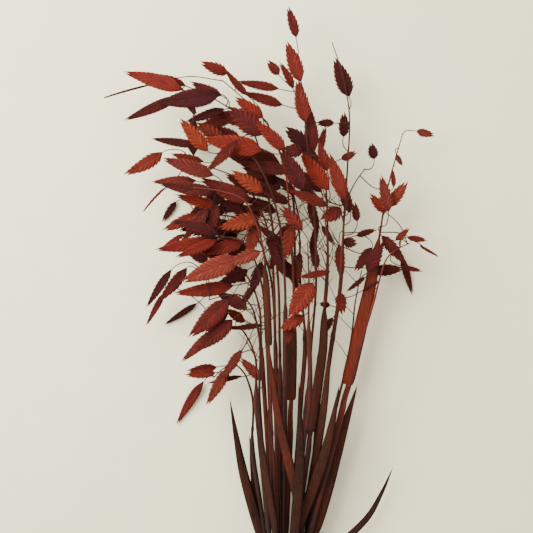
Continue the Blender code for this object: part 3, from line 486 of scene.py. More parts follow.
class Finish:
    """A material under way: each call adds a node and gives back its output socket."""

    def __init__(self, name, rough, shine):
        self.material = bpy.data.materials.new(name)
        self.material.use_nodes = True
        self.nodes = self.material.node_tree.nodes
        self.shader = self.nodes["Principled BSDF"]
        self.shader.inputs["Roughness"].default_value = rough
        self.shader.inputs["Specular IOR Level"].default_value = shine

    def feed(self, socket, value):
        """Gives an input a number or colour, or links it to an output socket."""
        if isinstance(value, bpy.types.NodeSocket):
            self.material.node_tree.links.new(value, socket)
        else:
            socket.default_value = value

    def sum(self, operation, a, b=0.0, c=0.0):
        node = self.nodes.new("ShaderNodeMath")
        node.operation = operation
        for socket, value in zip(node.inputs, (a, b, c)):
            self.feed(socket, value)
        return node.outputs[0]

    def place(self):
        return self.nodes.new("ShaderNodeTexCoord").outputs["Object"]

    def told(self, name):
        """The number that tell() kept for each vertex."""
        node = self.nodes.new("ShaderNodeAttribute")
        node.attribute_name = name
        return node.outputs["Fac"]

    def parts(self, vector):
        node = self.nodes.new("ShaderNodeSeparateXYZ")
        self.feed(node.inputs[0], vector)
        return node.outputs

    def spread(self):
        """Where a point is on a rolled skin: how far round it, and how far up."""
        node = self.nodes.new("ShaderNodeUVMap")
        node.uv_map = "UVMap"
        return self.parts(node.outputs[0])[:2]

    def vary(self, tone, noise, strength):
        """The tone, raised or lowered by a noise about its middle."""
        return self.sum("MULTIPLY_ADD", noise, strength, self.sum("SUBTRACT", tone, strength / 2))

    def mottle(self, size, stretch=(1, 1, 1), detail=3.0):
        """Noise about this size in metres, longer or shorter along an axis by stretch."""
        mapping = self.nodes.new("ShaderNodeMapping")
        self.feed(mapping.inputs["Vector"], self.place())
        mapping.inputs["Scale"].default_value = [1 / (size * s) for s in stretch]
        node = self.nodes.new("ShaderNodeTexNoise")
        self.feed(node.inputs["Vector"], mapping.outputs[0])
        node.inputs["Scale"].default_value = 1.0
        node.inputs["Detail"].default_value = detail
        return node.outputs["Fac"]

    def ramp(self, share, stops):
        """The colour at this share of the way along (position, colour) stops."""
        node = self.nodes.new("ShaderNodeValToRGB")
        self.feed(node.inputs[0], share)
        while len(node.color_ramp.elements) < len(stops):
            node.color_ramp.elements.new(0.5)
        for element, (position, colour) in zip(node.color_ramp.elements, stops):
            element.position = position
            element.color = (*colour, 1)
        return node.outputs[0]

    def fade(self, value, low, high, to_low=0.0, to_high=1.0):
        """A smooth step from to_low, where the value is low, to to_high, where it is high."""
        node = self.nodes.new("ShaderNodeMapRange")
        node.interpolation_type = "SMOOTHSTEP"
        for socket, given in zip(node.inputs, (value, low, high, to_low, to_high)):
            self.feed(socket, given)
        return node.outputs[0]

    def mix(self, share, a, b):
        node = self.nodes.new("ShaderNodeMix")
        node.data_type = "RGBA"
        self.feed(node.inputs["Factor"], share)
        for socket, value in zip((node.inputs[6], node.inputs[7]), (a, b)):
            self.feed(socket, value if isinstance(value, bpy.types.NodeSocket) else (*value, 1))
        return node.outputs[2]

    def surface(self, colour, roughness, relief, depth):
        """Ends the finish with its colour, its roughness and a relief this deep in metres."""
        node = self.nodes.new("ShaderNodeBump")
        node.inputs["Distance"].default_value = depth
        self.feed(node.inputs["Height"], relief)
        self.feed(self.shader.inputs["Normal"], node.outputs[0])
        self.feed(self.shader.inputs["Base Color"], colour)
        self.feed(self.shader.inputs["Roughness"], roughness)
        return self.material


def straw_finish():
    """Dyed straw: brown-black low down, redder towards the panicle, streaked along its length,
    with paler pith at the cut end."""
    finish = Finish("dyed straw", 0.65, 0.14)
    streak = finish.mottle(0.5 * MM, (1, 60, 1))
    patch = finish.mottle(14 * MM, (1, 3, 1))
    height = finish.parts(finish.place())[1]
    tone = finish.sum("ADD", finish.told("tone"), finish.fade(height, 0.02, 0.26, -0.22, 0.16))
    tone = finish.vary(tone, streak, 1.20)
    tone = finish.vary(tone, patch, 0.80)
    colour = finish.ramp(tone, [
        (0.0, (0.015, 0.0064, 0.0048)),
        (0.3, (0.029, 0.0086, 0.0062)),
        (0.6, (0.058, 0.0100, 0.0070)),
        (0.85, (0.120, 0.0160, 0.0090)),
        (1.0, (0.150, 0.0440, 0.0220)),
    ])
    joint = finish.sum("MULTIPLY", finish.told("joint"), 0.7)
    colour = finish.mix(joint, colour, (0.010, 0.0045, 0.0040))
    cut = finish.fade(height, CUT_END_Y + 0.1 * MM, CUT_END_Y + 0.5 * MM, 0.9, 0.0)
    colour = finish.mix(cut, colour, (0.17, 0.085, 0.045))
    return finish.surface(colour, finish.fade(streak, 0.3, 0.7, 0.56, 0.78), streak, 0.12 * MM)


def culm_mesh(stem, tone):
    """The finished straw of one stem, with its joints and its leaf sheath."""
    line = flowing([*stem.laid, *stem.axis], CULM_PACE)
    on_axis = len(flowing(stem.axis, CULM_PACE)) - 1
    radii = np.array([culm_radius(stem, y) for y in line[:, 1]])
    radii[-on_axis:] = np.linspace(NECK_RADIUS, CROWN_RADIUS, on_axis) * AXIS_SLIMMING
    knots = np.zeros(len(line))
    for step in (0, 1, -1):
        joint = stem.sheath_foot + step * JOINT_PITCH
        if joint < stem.neck.y - LAST_JOINT:
            knots += np.exp(-(((line[:, 1] - joint) / JOINT_HALF) ** 2))
    mesh = drawn_rods(stem.name + "_culm", [(line, radii + knots * JOINT_RISE)], 3)
    where = np.zeros(len(mesh.vertices) * 3)
    mesh.vertices.foreach_get("co", where)
    nearest = [int(np.argmin(((line - p) ** 2).sum(1))) for p in where.reshape(-1, 3)]
    tell(mesh, "joint", np.clip(knots[nearest], 0, 1))
    tell(mesh, "tone", np.full(len(mesh.vertices), tone))
    return mesh


waist_radius = give_slots(STEMS)
waist_z = waist_radius + GAP + TWINE
settle_culms(STEMS, waist_z)
raise_axes(STEMS)
plain_culms(STEMS)

dyed_straw = straw_finish()
for i, stem in enumerate(STEMS):
    stem.slot_name = SLOTS[i % len(SLOTS)]
    tone = random.Random(SEED + 31 * i).uniform(*CULM_TONES)
    put(culm_mesh(stem, tone), dyed_straw, stem.name)

# ---------------------------------------------------------------------------------------
# Leaves. A few of the grass's own leaves are left on: stiff dried blades, folded along a
# midrib and drawn out to a point, and four loose sheaths that clasp a culm like a gutter and
# are cut square below. Each grows from a joint of its culm. Papery, ribbed along its length.

BLADE_THICKNESS = 0.9 * MM    # a dried leaf at its midrib
LEAF_RIBS = 22                # fine ribs all round a leaf
WRAP_THICKENING = 1.8         # a loose sheath over a blade
LOWEST_TIP = 4 * MM
BLADE_SHARES = (0.2, 0.5, 0.85, 1.0, 0.88, 0.52, 0.0)  # width over the greatest, root to tip
WRAP_SHARES = (0.0, 0.9, 1.0, 0.98, 0.9, 0.7, 0.0)
WRAP_RISES = (0.0, 0.015, 0.2, 0.42, 0.65, 0.86, 1.0)  # and how far up each of these is
BLADE_SECTION = (              # across as a share of the half width, up as a share of the rise
    (-1, 0.25), (-0.55, 0.62), (0, 0.98), (0.55, 0.62),
    (1, 0.25), (0.5, 0.14), (0, 0.42), (-0.5, 0.14),
)

# Blades: x and y where each leaves its culm, its tip, its width, how far its middle bows to
# the right, all in millimetres, its roll in degrees, and its tone from brown to red
BLADES = [
    (-14, 30, (-44, 178, 24), 9, -3, 15, 0.24),
    (26, 50, (61, 190, 34), 12, -1, -10, 0.38),
    (14, 60, (45, 192, 56), 10, 4, 12, 0.36),
    (26, 16, (92, 120, 14), 7, 13, 20, 0.18),
    (4, 76, (-12, 226, 72), 8, -3, 0, 0.52),
    (20, 40, (30, 214, 6), 8, 3, 30, 0.38),
    (-6, 50, (-22, 206, 66), 7, -3, -20, 0.26),
    (8, 36, (12, 196, 74), 9, 3, 8, 0.18),
    (24, 90, (38, 238, 74), 7, 2, -20, 0.34),
    (-12, 20, (-28, 146, 6), 8, -2, 20, 0.26),
]

# Loose sheaths: stem, y of its foot and of its end, and width in millimetres, and tone
WRAPS = [
    ("outer", 190, 313, 11, 0.76),
    ("heart", 178, 248, 9, 0.34),
    ("sprig", 153, 258, 8, 0.34),
    ("mane", 224, 290, 6, 0.34),
]


class Lens:
    """A thin closed solid over a row of ribs: a ridge above, flat below, sharp at its edges.

    A rib is four vectors: its centre, and from there the steps to the left edge, to the right
    edge and to the crest. The solid is a grid rolled up along its length, with pointed ends.
    """

    made = {}
    corners = ((-1, 0), (0, 1), (1, 0), (-1, 0))

    def __init__(self, spans):
        shape = bmesh.new()
        bmesh.ops.create_grid(shape, x_segments=3, y_segments=spans, size=1)
        for vert in shape.verts:
            row = round((vert.co.y + 1) * spans / 2)
            across, crest = self.corners[round((vert.co.x + 1) * 1.5)]
            inner = 0 < row < spans
            vert.co = (across * inner, row, crest * inner)
        sealed(shape, 0.1 * MM)
        bmesh.ops.triangulate(shape, faces=shape.faces[:])
        shape.verts.index_update()
        self.spans = spans
        self.at = [tuple(round(c) for c in vert.co) for vert in shape.verts]
        self.faces = [tuple(vert.index for vert in face.verts) for face in shape.faces]
        shape.free()

    @classmethod
    def of(cls, ribs):
        """The lens for so many ribs, which is made once."""
        spans = len(ribs) - 1
        if spans not in cls.made:
            cls.made[spans] = cls(spans)
        return cls.made[spans]

    def points(self, ribs, grow=0.0):
        """Its corners over these ribs, moved out by grow."""
        found = []
        for across, row, crest in self.at:
            centre, left, right, rise = ribs[row]
            point = centre
            for share, step in ((across < 0, left), (across > 0, right), (crest, rise)):
                if share:
                    point = point + step * share + step.normalized() * (share * grow)
            if row in (0, self.spans) and grow:
                inward = ribs[1 if row == 0 else row - 1][0]
                point = point + (centre - inward).normalized() * grow
            found.append(point)
        return found


def lowest(ribs):
    return min(p.z for p in Lens.of(ribs).points(ribs))


def highest(ribs):
    return max(p.z for p in Lens.of(ribs).points(ribs))


class Crowd:
    """What is already in place, so that the next piece can be laid clear of it."""

    def __init__(self):
        self.things = []

    @staticmethod
    def wrap(points, faces):
        """A search tree of some faces, and the box round them."""
        low = [min(p[i] for p in points) for i in range(3)]
        high = [max(p[i] for p in points) for i in range(3)]
        return BVHTree.FromPolygons(points, faces), low, high

    def add_ribs(self, owner, kind, ribs):
        lens = Lens.of(ribs)
        self.things.append((owner, kind, *self.wrap(lens.points(ribs), lens.faces)))

    def add_mesh(self, owner, kind, mesh):
        points = [v.co.copy() for v in mesh.vertices]
        faces = [tuple(p.vertices) for p in mesh.polygons]
        self.things.append((owner, kind, *self.wrap(points, faces)))

    def clear(self, owner, ribs, passing):
        """Whether these ribs miss every thing in place, but for the owner's kinds in passing.
        A spikelet with its stalk is whole to other stems, and two parts to its own."""
        lens = Lens.of(ribs)
        tree, low, high = self.wrap(lens.points(ribs, GAP), lens.faces)
        for who, kind, other, other_low, other_high in self.things:
            ignored = (*passing, "whole") if who == owner else ("spikelet", "stalk")
            if kind in ignored:
                continue
            if any(low[i] > other_high[i] or high[i] < other_low[i] for i in range(3)):
                continue
            if tree.overlap(other):
                return False
        return True

    def take_in(self, owner, whole, grain_may, stalk_may):
        """Adds a spikelet with its stalk if it is clear, and tells whether it was."""
        grain, stalk = whole[3:], whole[:5]
        if not self.clear(owner, whole, ("culm", "blade", "stalk", "spikelet")):
            return False
        if not self.clear(owner, grain, grain_may) or not self.clear(owner, stalk, stalk_may):
            return False
        for kind, ribs in (("whole", whole), ("spikelet", grain), ("stalk", stalk)):
            self.add_ribs(owner, kind, ribs)
        return True


def frame_of(along, roll):
    """Two unit vectors across a direction: one level to its side, one over it, then rolled."""
    side = along.cross(UP)
    side = side.normalized() if side.length > 1e-6 else Vector((1, 0, 0))
    side = Matrix.Rotation(roll, 3, along) @ side
    return side, side.cross(along)


def blade_ribs(path, width, shares, roll):
    """Ribs of a leaf along a path; shares are its width at each point over the greatest."""
    ribs = []
    for i, point in enumerate(path):
        along = (path[min(i + 1, len(path) - 1)] - path[max(i - 1, 0)]).normalized()
        side, face = frame_of(along, math.radians(roll))
        half = side * (0.5 * width * max(shares[i], 0.05))
        ribs.append((point, -half, half, face * BLADE_THICKNESS))
    return ribs


def bear_blade(stems, blade, crowd):
    """Lays one leaf blade from the culm nearest its root that lets it pass clear of the rest."""
    x, y, tip, width, bow, roll = blade
    tip = Vector(tip) * MM
    near = sorted(stems, key=lambda s: abs(at_height(s, y * MM).x - x * MM))
    for k in range(31):
        lift = alternately(k) * 2.5 * MM
        end = tip + UP * lift
        if end.z < LOWEST_TIP:
            continue
        for stem in near[:9]:
            root = at_height(stem, y * MM)
            leave = at_height(stem, root.y + 0.16 * (tip - root).y)
            out = (end - leave).normalized()
            leave = leave + (out - Vector((0, 1, 0)) * out.y) * 9 * MM
            middle = leave.lerp(end, 0.5) + Vector((bow * MM, 0, lift * 0.3))
            path = smooth_path([root, leave, middle, end], 2)
            ribs = blade_ribs(path, width * MM, BLADE_SHARES, roll)
            if lowest(ribs) > GAP and crowd.clear(stem.name, ribs, ("culm", "blade")):
                crowd.add_ribs(stem.name, "blade", ribs)
                return stem, ribs
    print("no room for blade", blade)
    return None


def bear_wrap(stem, low, high, width, crowd):
    """Lays one loose sheath, square at its foot, along a stem's own line."""
    path = [at_height(stem, blend(low, high, r) * MM) for r in WRAP_RISES]
    for k in range(24):
        ribs = blade_ribs(path, width * MM, WRAP_SHARES, alternately(k) * 7.5)
        ribs = [(*rib[:3], rib[3] * WRAP_THICKENING) for rib in ribs]
        if crowd.clear(stem.name, ribs, ("culm", "blade")):
            crowd.add_ribs(stem.name, "blade", ribs)
            return ribs
    print("no room for wrap", stem.name)
    return None


def rolled(corners, rows):
    """A closed skin: a grid rolled up round so many corners and drawn to a point at each end.
    Gives its mesh, and the corner and row of each vertex."""
    shape = bmesh.new()
    shape.loops.layers.uv.new("UVMap")
    bmesh.ops.create_grid(shape, x_segments=corners, y_segments=rows, size=1, calc_uvs=True)
    for vert in shape.verts:
        row = round((vert.co.y + 1) * rows / 2)
        turn = round((vert.co.x + 1) * corners / 2) % corners * 2 * math.pi / corners
        inner = 0 < row < rows
        vert.co = (math.cos(turn) * inner, row, -math.sin(turn) * inner)
    sealed(shape, 0.1 * MM)
    for face in shape.faces:
        face.smooth = True
    mesh = mesh_of("rolled", shape)
    spots = np.zeros(len(mesh.vertices) * 3)
    mesh.vertices.foreach_get("co", spots)
    spots = spots.reshape(-1, 3)
    turns = np.arctan2(-spots[:, 2], spots[:, 0]) * corners / (2 * math.pi)
    return mesh, np.round(turns).astype(int) % corners, np.round(spots[:, 1]).astype(int)


def leaf_mesh(name, leaves):
    """All the leaves of one stem as one mesh, from their ribs, with the tone of each."""
    whole = bmesh.new()
    tones = []
    for ribs, tone in leaves:
        rows = smooth_path([np.concatenate([tuple(part) for part in rib]) for rib in ribs], 6)
        rows = np.array(rows)
        skin, corner, row = rolled(len(BLADE_SECTION), len(rows) - 1)
        centre, left, right, rise = rows[row].reshape(-1, 4, 3).transpose(1, 0, 2)
        across, up = np.array(BLADE_SECTION)[corner].T[:, :, None]
        ends = ((row > 0) & (row < len(rows) - 1))[:, None]
        sideways = np.where(across < 0, left * -across, right * across)
        spots = centre + (sideways + rise * up) * ends
        skin.vertices.foreach_set("co", spots.ravel())
        whole.from_mesh(skin)
        tones.append(np.full(len(skin.vertices), tone))
        bpy.data.meshes.remove(skin)
    mesh = mesh_of(name, whole)
    tell(mesh, "tone", np.concatenate(tones))
    return mesh


def leaf_finish():
    """Dried leaf: fine ribs along its length, brown to red, mottled by the dye."""
    finish = Finish("dried leaf", 0.75, 0.10)
    across, _ = finish.spread()
    rib = finish.sum("SINE", finish.sum("MULTIPLY", across, 2 * math.pi * LEAF_RIBS))
    streak = finish.mottle(0.9 * MM, (1, 40, 1))
    patch = finish.mottle(16 * MM, (1, 2.5, 1))
    tone = finish.vary(finish.told("tone"), streak, 0.90)
    tone = finish.vary(tone, patch, 0.66)
    tone = finish.sum("MULTIPLY_ADD", rib, 0.05, tone)
    colour = finish.ramp(tone, [
        (0.0, (0.015, 0.0064, 0.0048)),
        (0.25, (0.033, 0.0114, 0.0070)),
        (0.5, (0.062, 0.0142, 0.0080)),
        (0.75, (0.118, 0.0165, 0.0080)),
        (1.0, (0.210, 0.0240, 0.0095)),
    ])
    relief = finish.sum("MULTIPLY_ADD", streak, 0.5, rib)
    return finish.surface(colour, finish.fade(patch, 0.3, 0.7, 0.66, 0.88), relief, 0.10 * MM)


crowd = Crowd()
leaves_of = {stem.name: [] for stem in STEMS}
for stem in STEMS:
    crowd.add_mesh(stem.name, "culm", stem.culm)
    bpy.data.meshes.remove(stem.culm)
for name, low, high, width, tone in WRAPS:
    stem = next(s for s in STEMS if s.name == name)
    ribs = bear_wrap(stem, low, high, width, crowd)
    if ribs:
        leaves_of[name].append((ribs, tone))
for *blade, tone in BLADES:
    borne = bear_blade(STEMS, blade, crowd)
    if borne:
        leaves_of[borne[0].name].append((borne[1], tone))

dried_leaf = leaf_finish()
for stem in STEMS:
    if leaves_of[stem.name]:
        mesh = leaf_mesh(stem.name + "_leaves", leaves_of[stem.name])
        put(mesh, dried_leaf, stem.name)

# ---------------------------------------------------------------------------------------
# Spikelets. The flat seed heads, each hung on a hair-fine stalk. Two ranks of folded scales
# overlap like a plait, each keeled along the outer edge and drawn to a point, so the edge is
# a saw. Papery, finely veined, dyed from dark maroon to orange rust, palest on rims and tips.

CEILING = 84 * MM             # no spikelet rises above this
FILL_CEILING = 56 * MM        # hidden ones stay below this
FILL_WITHIN = 15 * MM         # and this near to the middles of three that show
FULLNESS = 1.12               # width over the width on the grid, which leaves out the teeth
SPIKELET_THICKNESS = 2.6 * MM
TEETH = 4                     # saw teeth on each edge of the plain solid
NOTCH = 0.74                  # how deep the saw is cut
PEDICEL_WIDTH = 1.0 * MM      # of the plain solid's stalk
LOWEST_BASE = 8 * MM          # of a spikelet that hangs clear of the table
SHORTEST_STALK = 3 * MM
STALK_ROOM = 50 * MM          # stalks leave a culm from this far below its neck upwards
GRID = 0.82 * MM              # one step of the grid at GRID_Z
GRID_X, GRID_Y = 283, 617     # where the tie is: steps from the left and down from the top
GRID_Z = 35 * MM
EYE = Vector((-13.5, 287, 1135)) * MM
STALK_RADIUS = 0.40 * MM
STALK_PACE = 2.5 * MM         # spacing of the points along a stalk
STALK_TONE = 0.24
BARE_STALKS = 6               # side stalks sought on each stem that have shed their spikelets
HEART_X = (-44 * MM, 46 * MM)  # the part of the bunch where they end
HEART_Y = (226 * MM, 352 * MM)
HIDDEN_SHADES = (0.05, 0.4)
SCALE_PITCH = 4.2 * MM        # from one scale to the next on the same side
SCALE_CORNERS = 7
SCALE_ROWS = 6
SCALE_VEINS = 6               # on each flank
SCALE_SECTION = (             # along the flank from keel to margin, and out to its face
    (0, 0), (0.26, 0.75), (0.66, 1.0), (1, 0.6), (1, -0.6), (0.66, -1.0), (0.26, -0.75),
)
FIRST_TIP = 0.22              # how far up a spikelet its lowest scale ends
TIP_REACH = 0.05              # how far its last points stand past the plan's blunt end
SPLAY = (0.7, 1.5)            # millimetres by which the points of its scales spread
SCALE_SWELL = 1.1 * MM        # half the thickness of a spikelet
LEVEL = 1.25 * MM             # its middle, above the flat underside that the plan gives it
DYE_STOPS = (0.0, 0.24, 0.48, 0.8, 1.0)
DYED = {                      # each dye from its darkest spikelets to its brightest
    "maroon_dye": [
        (0.028, 0.0034, 0.0035), (0.070, 0.0064, 0.0053),
        (0.135, 0.0133, 0.0078), (0.235, 0.0275, 0.0104),
        (0.360, 0.0700, 0.0270),
    ],
    "red_dye": [
        (0.030, 0.0031, 0.0027), (0.080, 0.0062, 0.0043),
        (0.155, 0.0129, 0.0062), (0.260, 0.0249, 0.0076),
        (0.390, 0.0620, 0.0210),
    ],
    "rust_dye": [
        (0.032, 0.0040, 0.0027), (0.083, 0.0081, 0.0040),
        (0.160, 0.0185, 0.0066), (0.265, 0.0361, 0.0092),
        (0.410, 0.0900, 0.0260),
    ],
    "dark_dye": [
        (0.024, 0.0033, 0.0032), (0.060, 0.0062, 0.0050),
        (0.118, 0.0122, 0.0072), (0.220, 0.0249, 0.0096),
        (0.340, 0.0620, 0.0250),
    ],
    "brown_dye": [
        (0.032, 0.0046, 0.0038), (0.076, 0.0100, 0.0069),
        (0.142, 0.0202, 0.0124), (0.235, 0.0378, 0.0184),
        (0.360, 0.0900, 0.0420),
    ],
}

# Spikelets set out one by one: base and tip on the grid, width in steps, height above the
# table in millimetres, 0 for one that touches it, roll about its own length, and shade
SPIKELETS = [
    (184, 91, 126, 69, 15, 52, 0, 0.7),
    (186, 87, 156, 74, 9, 44, 10, 0.52),
    (220, 95, 160, 104, 19, 62, -8, 0.04),
    (179, 98, 126, 121, 11, 58, 8, 0.08),
    (152, 87, 103, 100, 6, 32, 82, 0.02),
    (186, 100, 199, 115, 9, 36, 20, 0.42),
    (225, 110, 186, 122, 10, 52, 12, 0.1),
    (243, 125, 213, 113, 12, 42, 0, 0.45),
    (208, 152, 180, 121, 15, 60, 5, 0.82),
    (224, 142, 197, 122, 14, 50, -10, 0.58),
    (263, 152, 205, 136, 19, 64, 6, 0.66),
    (198, 147, 153, 139, 10, 40, 22, 0.08),
    (163, 153, 129, 180, 14, 34, 0, 0.84),
    (214, 176, 164, 159, 15, 54, -6, 0.52),
    (204, 163, 171, 155, 9, 46, 20, 0.44),
    (197, 182, 153, 180, 10, 44, 8, 0.66),
    (216, 192, 160, 189, 13, 50, -12, 0.26),
    (167, 189, 145, 213, 6, 30, 78, 0.6),
    (218, 207, 176, 198, 12, 38, 6, 0.74),
    (176, 202, 161, 222, 8, 0, 10, 0.12),
    (198, 215, 164, 232, 13, 34, 0, 0.74),
    (210, 225, 179, 232, 8, 26, 15, 0.14),
    (209, 209, 184, 241, 13, 46, 12, 0.34),
    (216, 203, 208, 243, 15, 40, -10, 0.38),
    (216, 241, 158, 252, 14, 46, 5, 0.54),
    (185, 235, 160, 251, 7, 38, 30, 0.62),
    (218, 240, 176, 258, 10, 56, -5, 0.68),
    (244, 243, 201, 254, 14, 50, 8, 0.5),
    (260, 218, 220, 229, 16, 68, 0, 0.74),
    (241, 258, 182, 281, 20, 64, -5, 0.8),
    (261, 252, 227, 265, 13, 72, 5, 0.84),
    (172, 270, 147, 307, 9, 32, 12, 0.08),
    (187, 268, 161, 303, 12, 42, -8, 0.42),
    (166, 292, 146, 325, 7, 24, 15, 0.58),
    (234, 286, 176, 297, 14, 52, 8, 0.46),
    (197, 304, 165, 326, 7, 0, 12, 0.1),
    (229, 299, 193, 339, 19, 60, -4, 0.52),
    (216, 330, 183, 363, 11, 48, 10, 0.6),
    (233, 320, 199, 352, 17, 52, 8, 0.44),
    (217, 367, 187, 370, 10, 30, -12, 0.66),
    (216, 373, 186, 379, 9, 35, 14, 0.78),
    (242, 350, 221, 381, 10, 46, 10, 0.6),
    (229, 368, 206, 404, 12, 40, -6, 0.74),
    (242, 377, 209, 384, 6, 36, 40, 0.3),
    (204, 382, 174, 422, 10, 0, 14, 0.62),
    (262, 381, 240, 358, 11, 42, 12, 0.66),
    (263, 326, 229, 331, 7, 44, 30, 0.26),
    (245, 322, 226, 311, 10, 38, 0, 0.74),
    (228, 75, 201, 63, 13, 46, 6, 0.5),
    (248, 97, 222, 72, 9, 42, 24, 0.4),
    (279, 90, 238, 82, 10, 46, 8, 0.64),
    (283, 106, 243, 93, 11, 42, -6, 0.6),
    (263, 119, 236, 98, 14, 58, 4, 0.8),
    (279, 76, 268, 61, 11, 30, 0, 0.64),
    (293, 90, 281, 63, 9, 44, 16, 0.78),
    (296, 39, 290, 7, 11, 40, 10, 0.62),
    (301, 83, 287, 42, 15, 50, -5, 0.74),
    (306, 124, 296, 81, 15, 58, 4, 0.74),
    (315, 152, 305, 106, 14, 52, -10, 0.48),
    (309, 148, 285, 129, 17, 46, 0, 0.1),
    (349, 98, 336, 59, 17, 36, 4, 0.03),
    (334, 124, 316, 124, 9, 42, 8, 0.2),
    (320, 152, 323, 126, 8, 48, 12, 0.36),
    (343, 138, 345, 113, 12, 36, 8, 0.08),
    (341, 160, 357, 154, 9, 32, 0, 0.64),
    (374, 160, 371, 144, 11, 42, 0, 0.04),
    (263, 136, 229, 107, 21, 70, 0, 0.24),
    (285, 152, 258, 121, 14, 66, 8, 0.62),
    (302, 153, 282, 150, 14, 76, -6, 0.26),
    (304, 191, 281, 150, 18, 70, 4, 0.16),
    (291, 172, 240, 166, 13, 58, 10, 0.28),
    (238, 141, 208, 173, 11, 74, 10, 0.36),
    (264, 193, 231, 172, 14, 70, -4, 0.76),
    (252, 201, 200, 184, 16, 60, 6, 0.42),
    (328, 207, 290, 190, 11, 68, 10, 0.8),
    (321, 193, 302, 171, 12, 54, 8, 0.34),
    (329, 191, 302, 153, 16, 64, -4, 0.74),
    (327, 172, 318, 144, 12, 60, 10, 0.78),
    (346, 202, 329, 155, 14, 58, -6, 0.74),
    (350, 214, 340, 180, 12, 50, 8, 0.46),
    (357, 222, 353, 203, 9, 46, 5, 0.62),
    (341, 209, 322, 223, 16, 52, 0, 0.64),
    (302, 231, 282, 207, 14, 64, 6, 0.62),
    (299, 224, 275, 238, 12, 58, 12, 0.38),
    (291, 227, 286, 259, 14, 62, -8, 0.64),
    (270, 240, 284, 276, 11, 54, 14, 0.34),
    (258, 222, 247, 256, 15, 62, 8, 0.5),
    (329, 273, 299, 277, 8, 66, 20, 0.66),
    (313, 283, 289, 317, 21, 72, 0, 0.86),
    (304, 316, 280, 331, 14, 66, 6, 0.82),
    (291, 329, 287, 345, 9, 60, 10, 0.48),
    (416, 132, 434, 137, 9, 26, 0, 0.95),
    (396, 155, 402, 167, 6, 30, 20, 0.84),
    (388, 208, 406, 182, 13, 42, 0, 0.95),
    (386, 213, 368, 196, 11, 38, 4, 0.92),
    (388, 213, 383, 176, 13, 50, 8, 0.68),
    (393, 188, 392, 169, 6, 44, 20, 0.9),
    (343, 243, 357, 243, 12, 48, 0, 0.32),
    (339, 245, 341, 280, 11, 40, 6, 0.7),
    (356, 236, 376, 229, 8, 44, 25, 0.3),
    (381, 236, 407, 264, 12, 46, 5, 0.38),
    (401, 256, 415, 294, 8, 0, 8, 0.4),
    (395, 241, 410, 229, 7, 42, 0, 0.82),
    (407, 238, 427, 241, 7, 38, 8, 0.76),
    (420, 245, 438, 256, 5, 34, 70, 0.6),
    (376, 268, 404, 267, 8, 38, 12, 0.2),
    (402, 267, 422, 271, 6, 34, 20, 0.62),
    (372, 248, 355, 272, 12, 42, 6, 0.36),
    (367, 273, 385, 242, 14, 50, -6, 0.3),
    (362, 291, 380, 281, 5, 40, 30, 0.58),
    (365, 278, 347, 293, 6, 36, 30, 0.28),
    (340, 293, 342, 315, 12, 46, 0, 0.74),
    (330, 306, 319, 304, 7, 40, 10, 0.28),
    (333, 318, 322, 335, 8, 44, 15, 0.44),
    (262, 262, 252, 296, 12, 40, 6, 0.16),
    (248, 270, 218, 288, 13, 38, 0, 0.12),
    (274, 254, 299, 286, 12, 42, 8, 0.18),
    (287, 262, 297, 292, 9, 34, -6, 0.24),
    (266, 239, 290, 257, 12, 44, 4, 0.14),
    (309, 199, 319, 236, 10, 46, 10, 0.42),
    (277, 213, 243, 197, 12, 44, 0, 0.14),
    (270, 203, 240, 212, 10, 38, 12, 0.2),
    (288, 204, 260, 188, 11, 50, -8, 0.22),
    (262, 217, 238, 204, 9, 34, 20, 0.26),
    (243, 319, 227, 309, 8, 30, 6, 0.62),
    (300, 252, 296, 284, 9, 40, 14, 0.2),
    (238, 262, 212, 268, 10, 34, 10, 0.22),
    (296, 196, 276, 178, 10, 46, 10, 0.3),
    (322, 226, 334, 246, 7, 44, 12, 0.34),
    (254, 286, 240, 308, 8, 28, 10, 0.3),
    (252, 160, 218, 146, 13, 36, 10, 0.3),
    (241, 141, 211, 126, 12, 40, 0, 0.26),
    (262, 196, 226, 175, 13, 40, 6, 0.22),
    (246, 214, 218, 199, 12, 34, 0, 0.18),
    (222, 97, 190, 84, 11, 48, 10, 0.34),
    (246, 304, 222, 300, 10, 30, 12, 0.24),
    (312, 252, 316, 222, 8, 38, 10, 0.3),
    (233, 232, 210, 221, 11, 30, 10, 0.2),
    (318, 268, 309, 240, 9, 34, 10, 0.26),
]


def outline(t):
    """Half the outline of a spikelet: its share of the greatest width at t from base to tip."""
    return max(0.0, math.sin(math.pi * t**0.72)) ** 0.8


def spikelet_ribs(start, lean, base, along, roll, length, width, sweep, arch):
    """Ribs of one spikelet with its pedicel, as one piece: from inside the culm out along lean
    to the base, then up the spikelet. Left and right teeth alternate and point forward."""
    reach = (base - start).length
    side, face = frame_of((base - start).normalized(), roll)
    across, over = side * PEDICEL_WIDTH / 2, face * PEDICEL_WIDTH
    points = [start, start + lean * (0.08 * reach), start + lean * (0.5 * reach), base]
    ribs = [(point - over / 3, -across, across, over) for point in points]
    side, face = frame_of(along, roll)
    rows = 2 * TEETH + 1
    for row in range(1, rows + 1):
        t = row / rows
        centre = base + along * (t * length)
        centre = centre + side * (sweep * length * t * t) + face * (arch * length * t * (1 - t))
        half = 0.5 * width * outline(t)
        lead = along * (0.07 * length)
        tooth, notch = side * half + lead, side * (half * NOTCH)
        back_tooth, back_notch = lead - side * half, -side * (half * NOTCH)
        left, right = (back_tooth, notch) if row % 2 else (back_notch, tooth)
        rise = face * (SPIKELET_THICKNESS * min(1.0, 1.3 * outline(t)))
        ribs.append((centre, left, right, rise))
    return ribs


# What a spikelet may cross on its own stem, and what its stalk may, from the best case down
OWN_CROSSINGS = [
    ((), ("culm",)),
    (("culm",), ("culm", "stalk")),
    (("culm", "stalk", "spikelet"), ("culm", "stalk", "spikelet")),
]


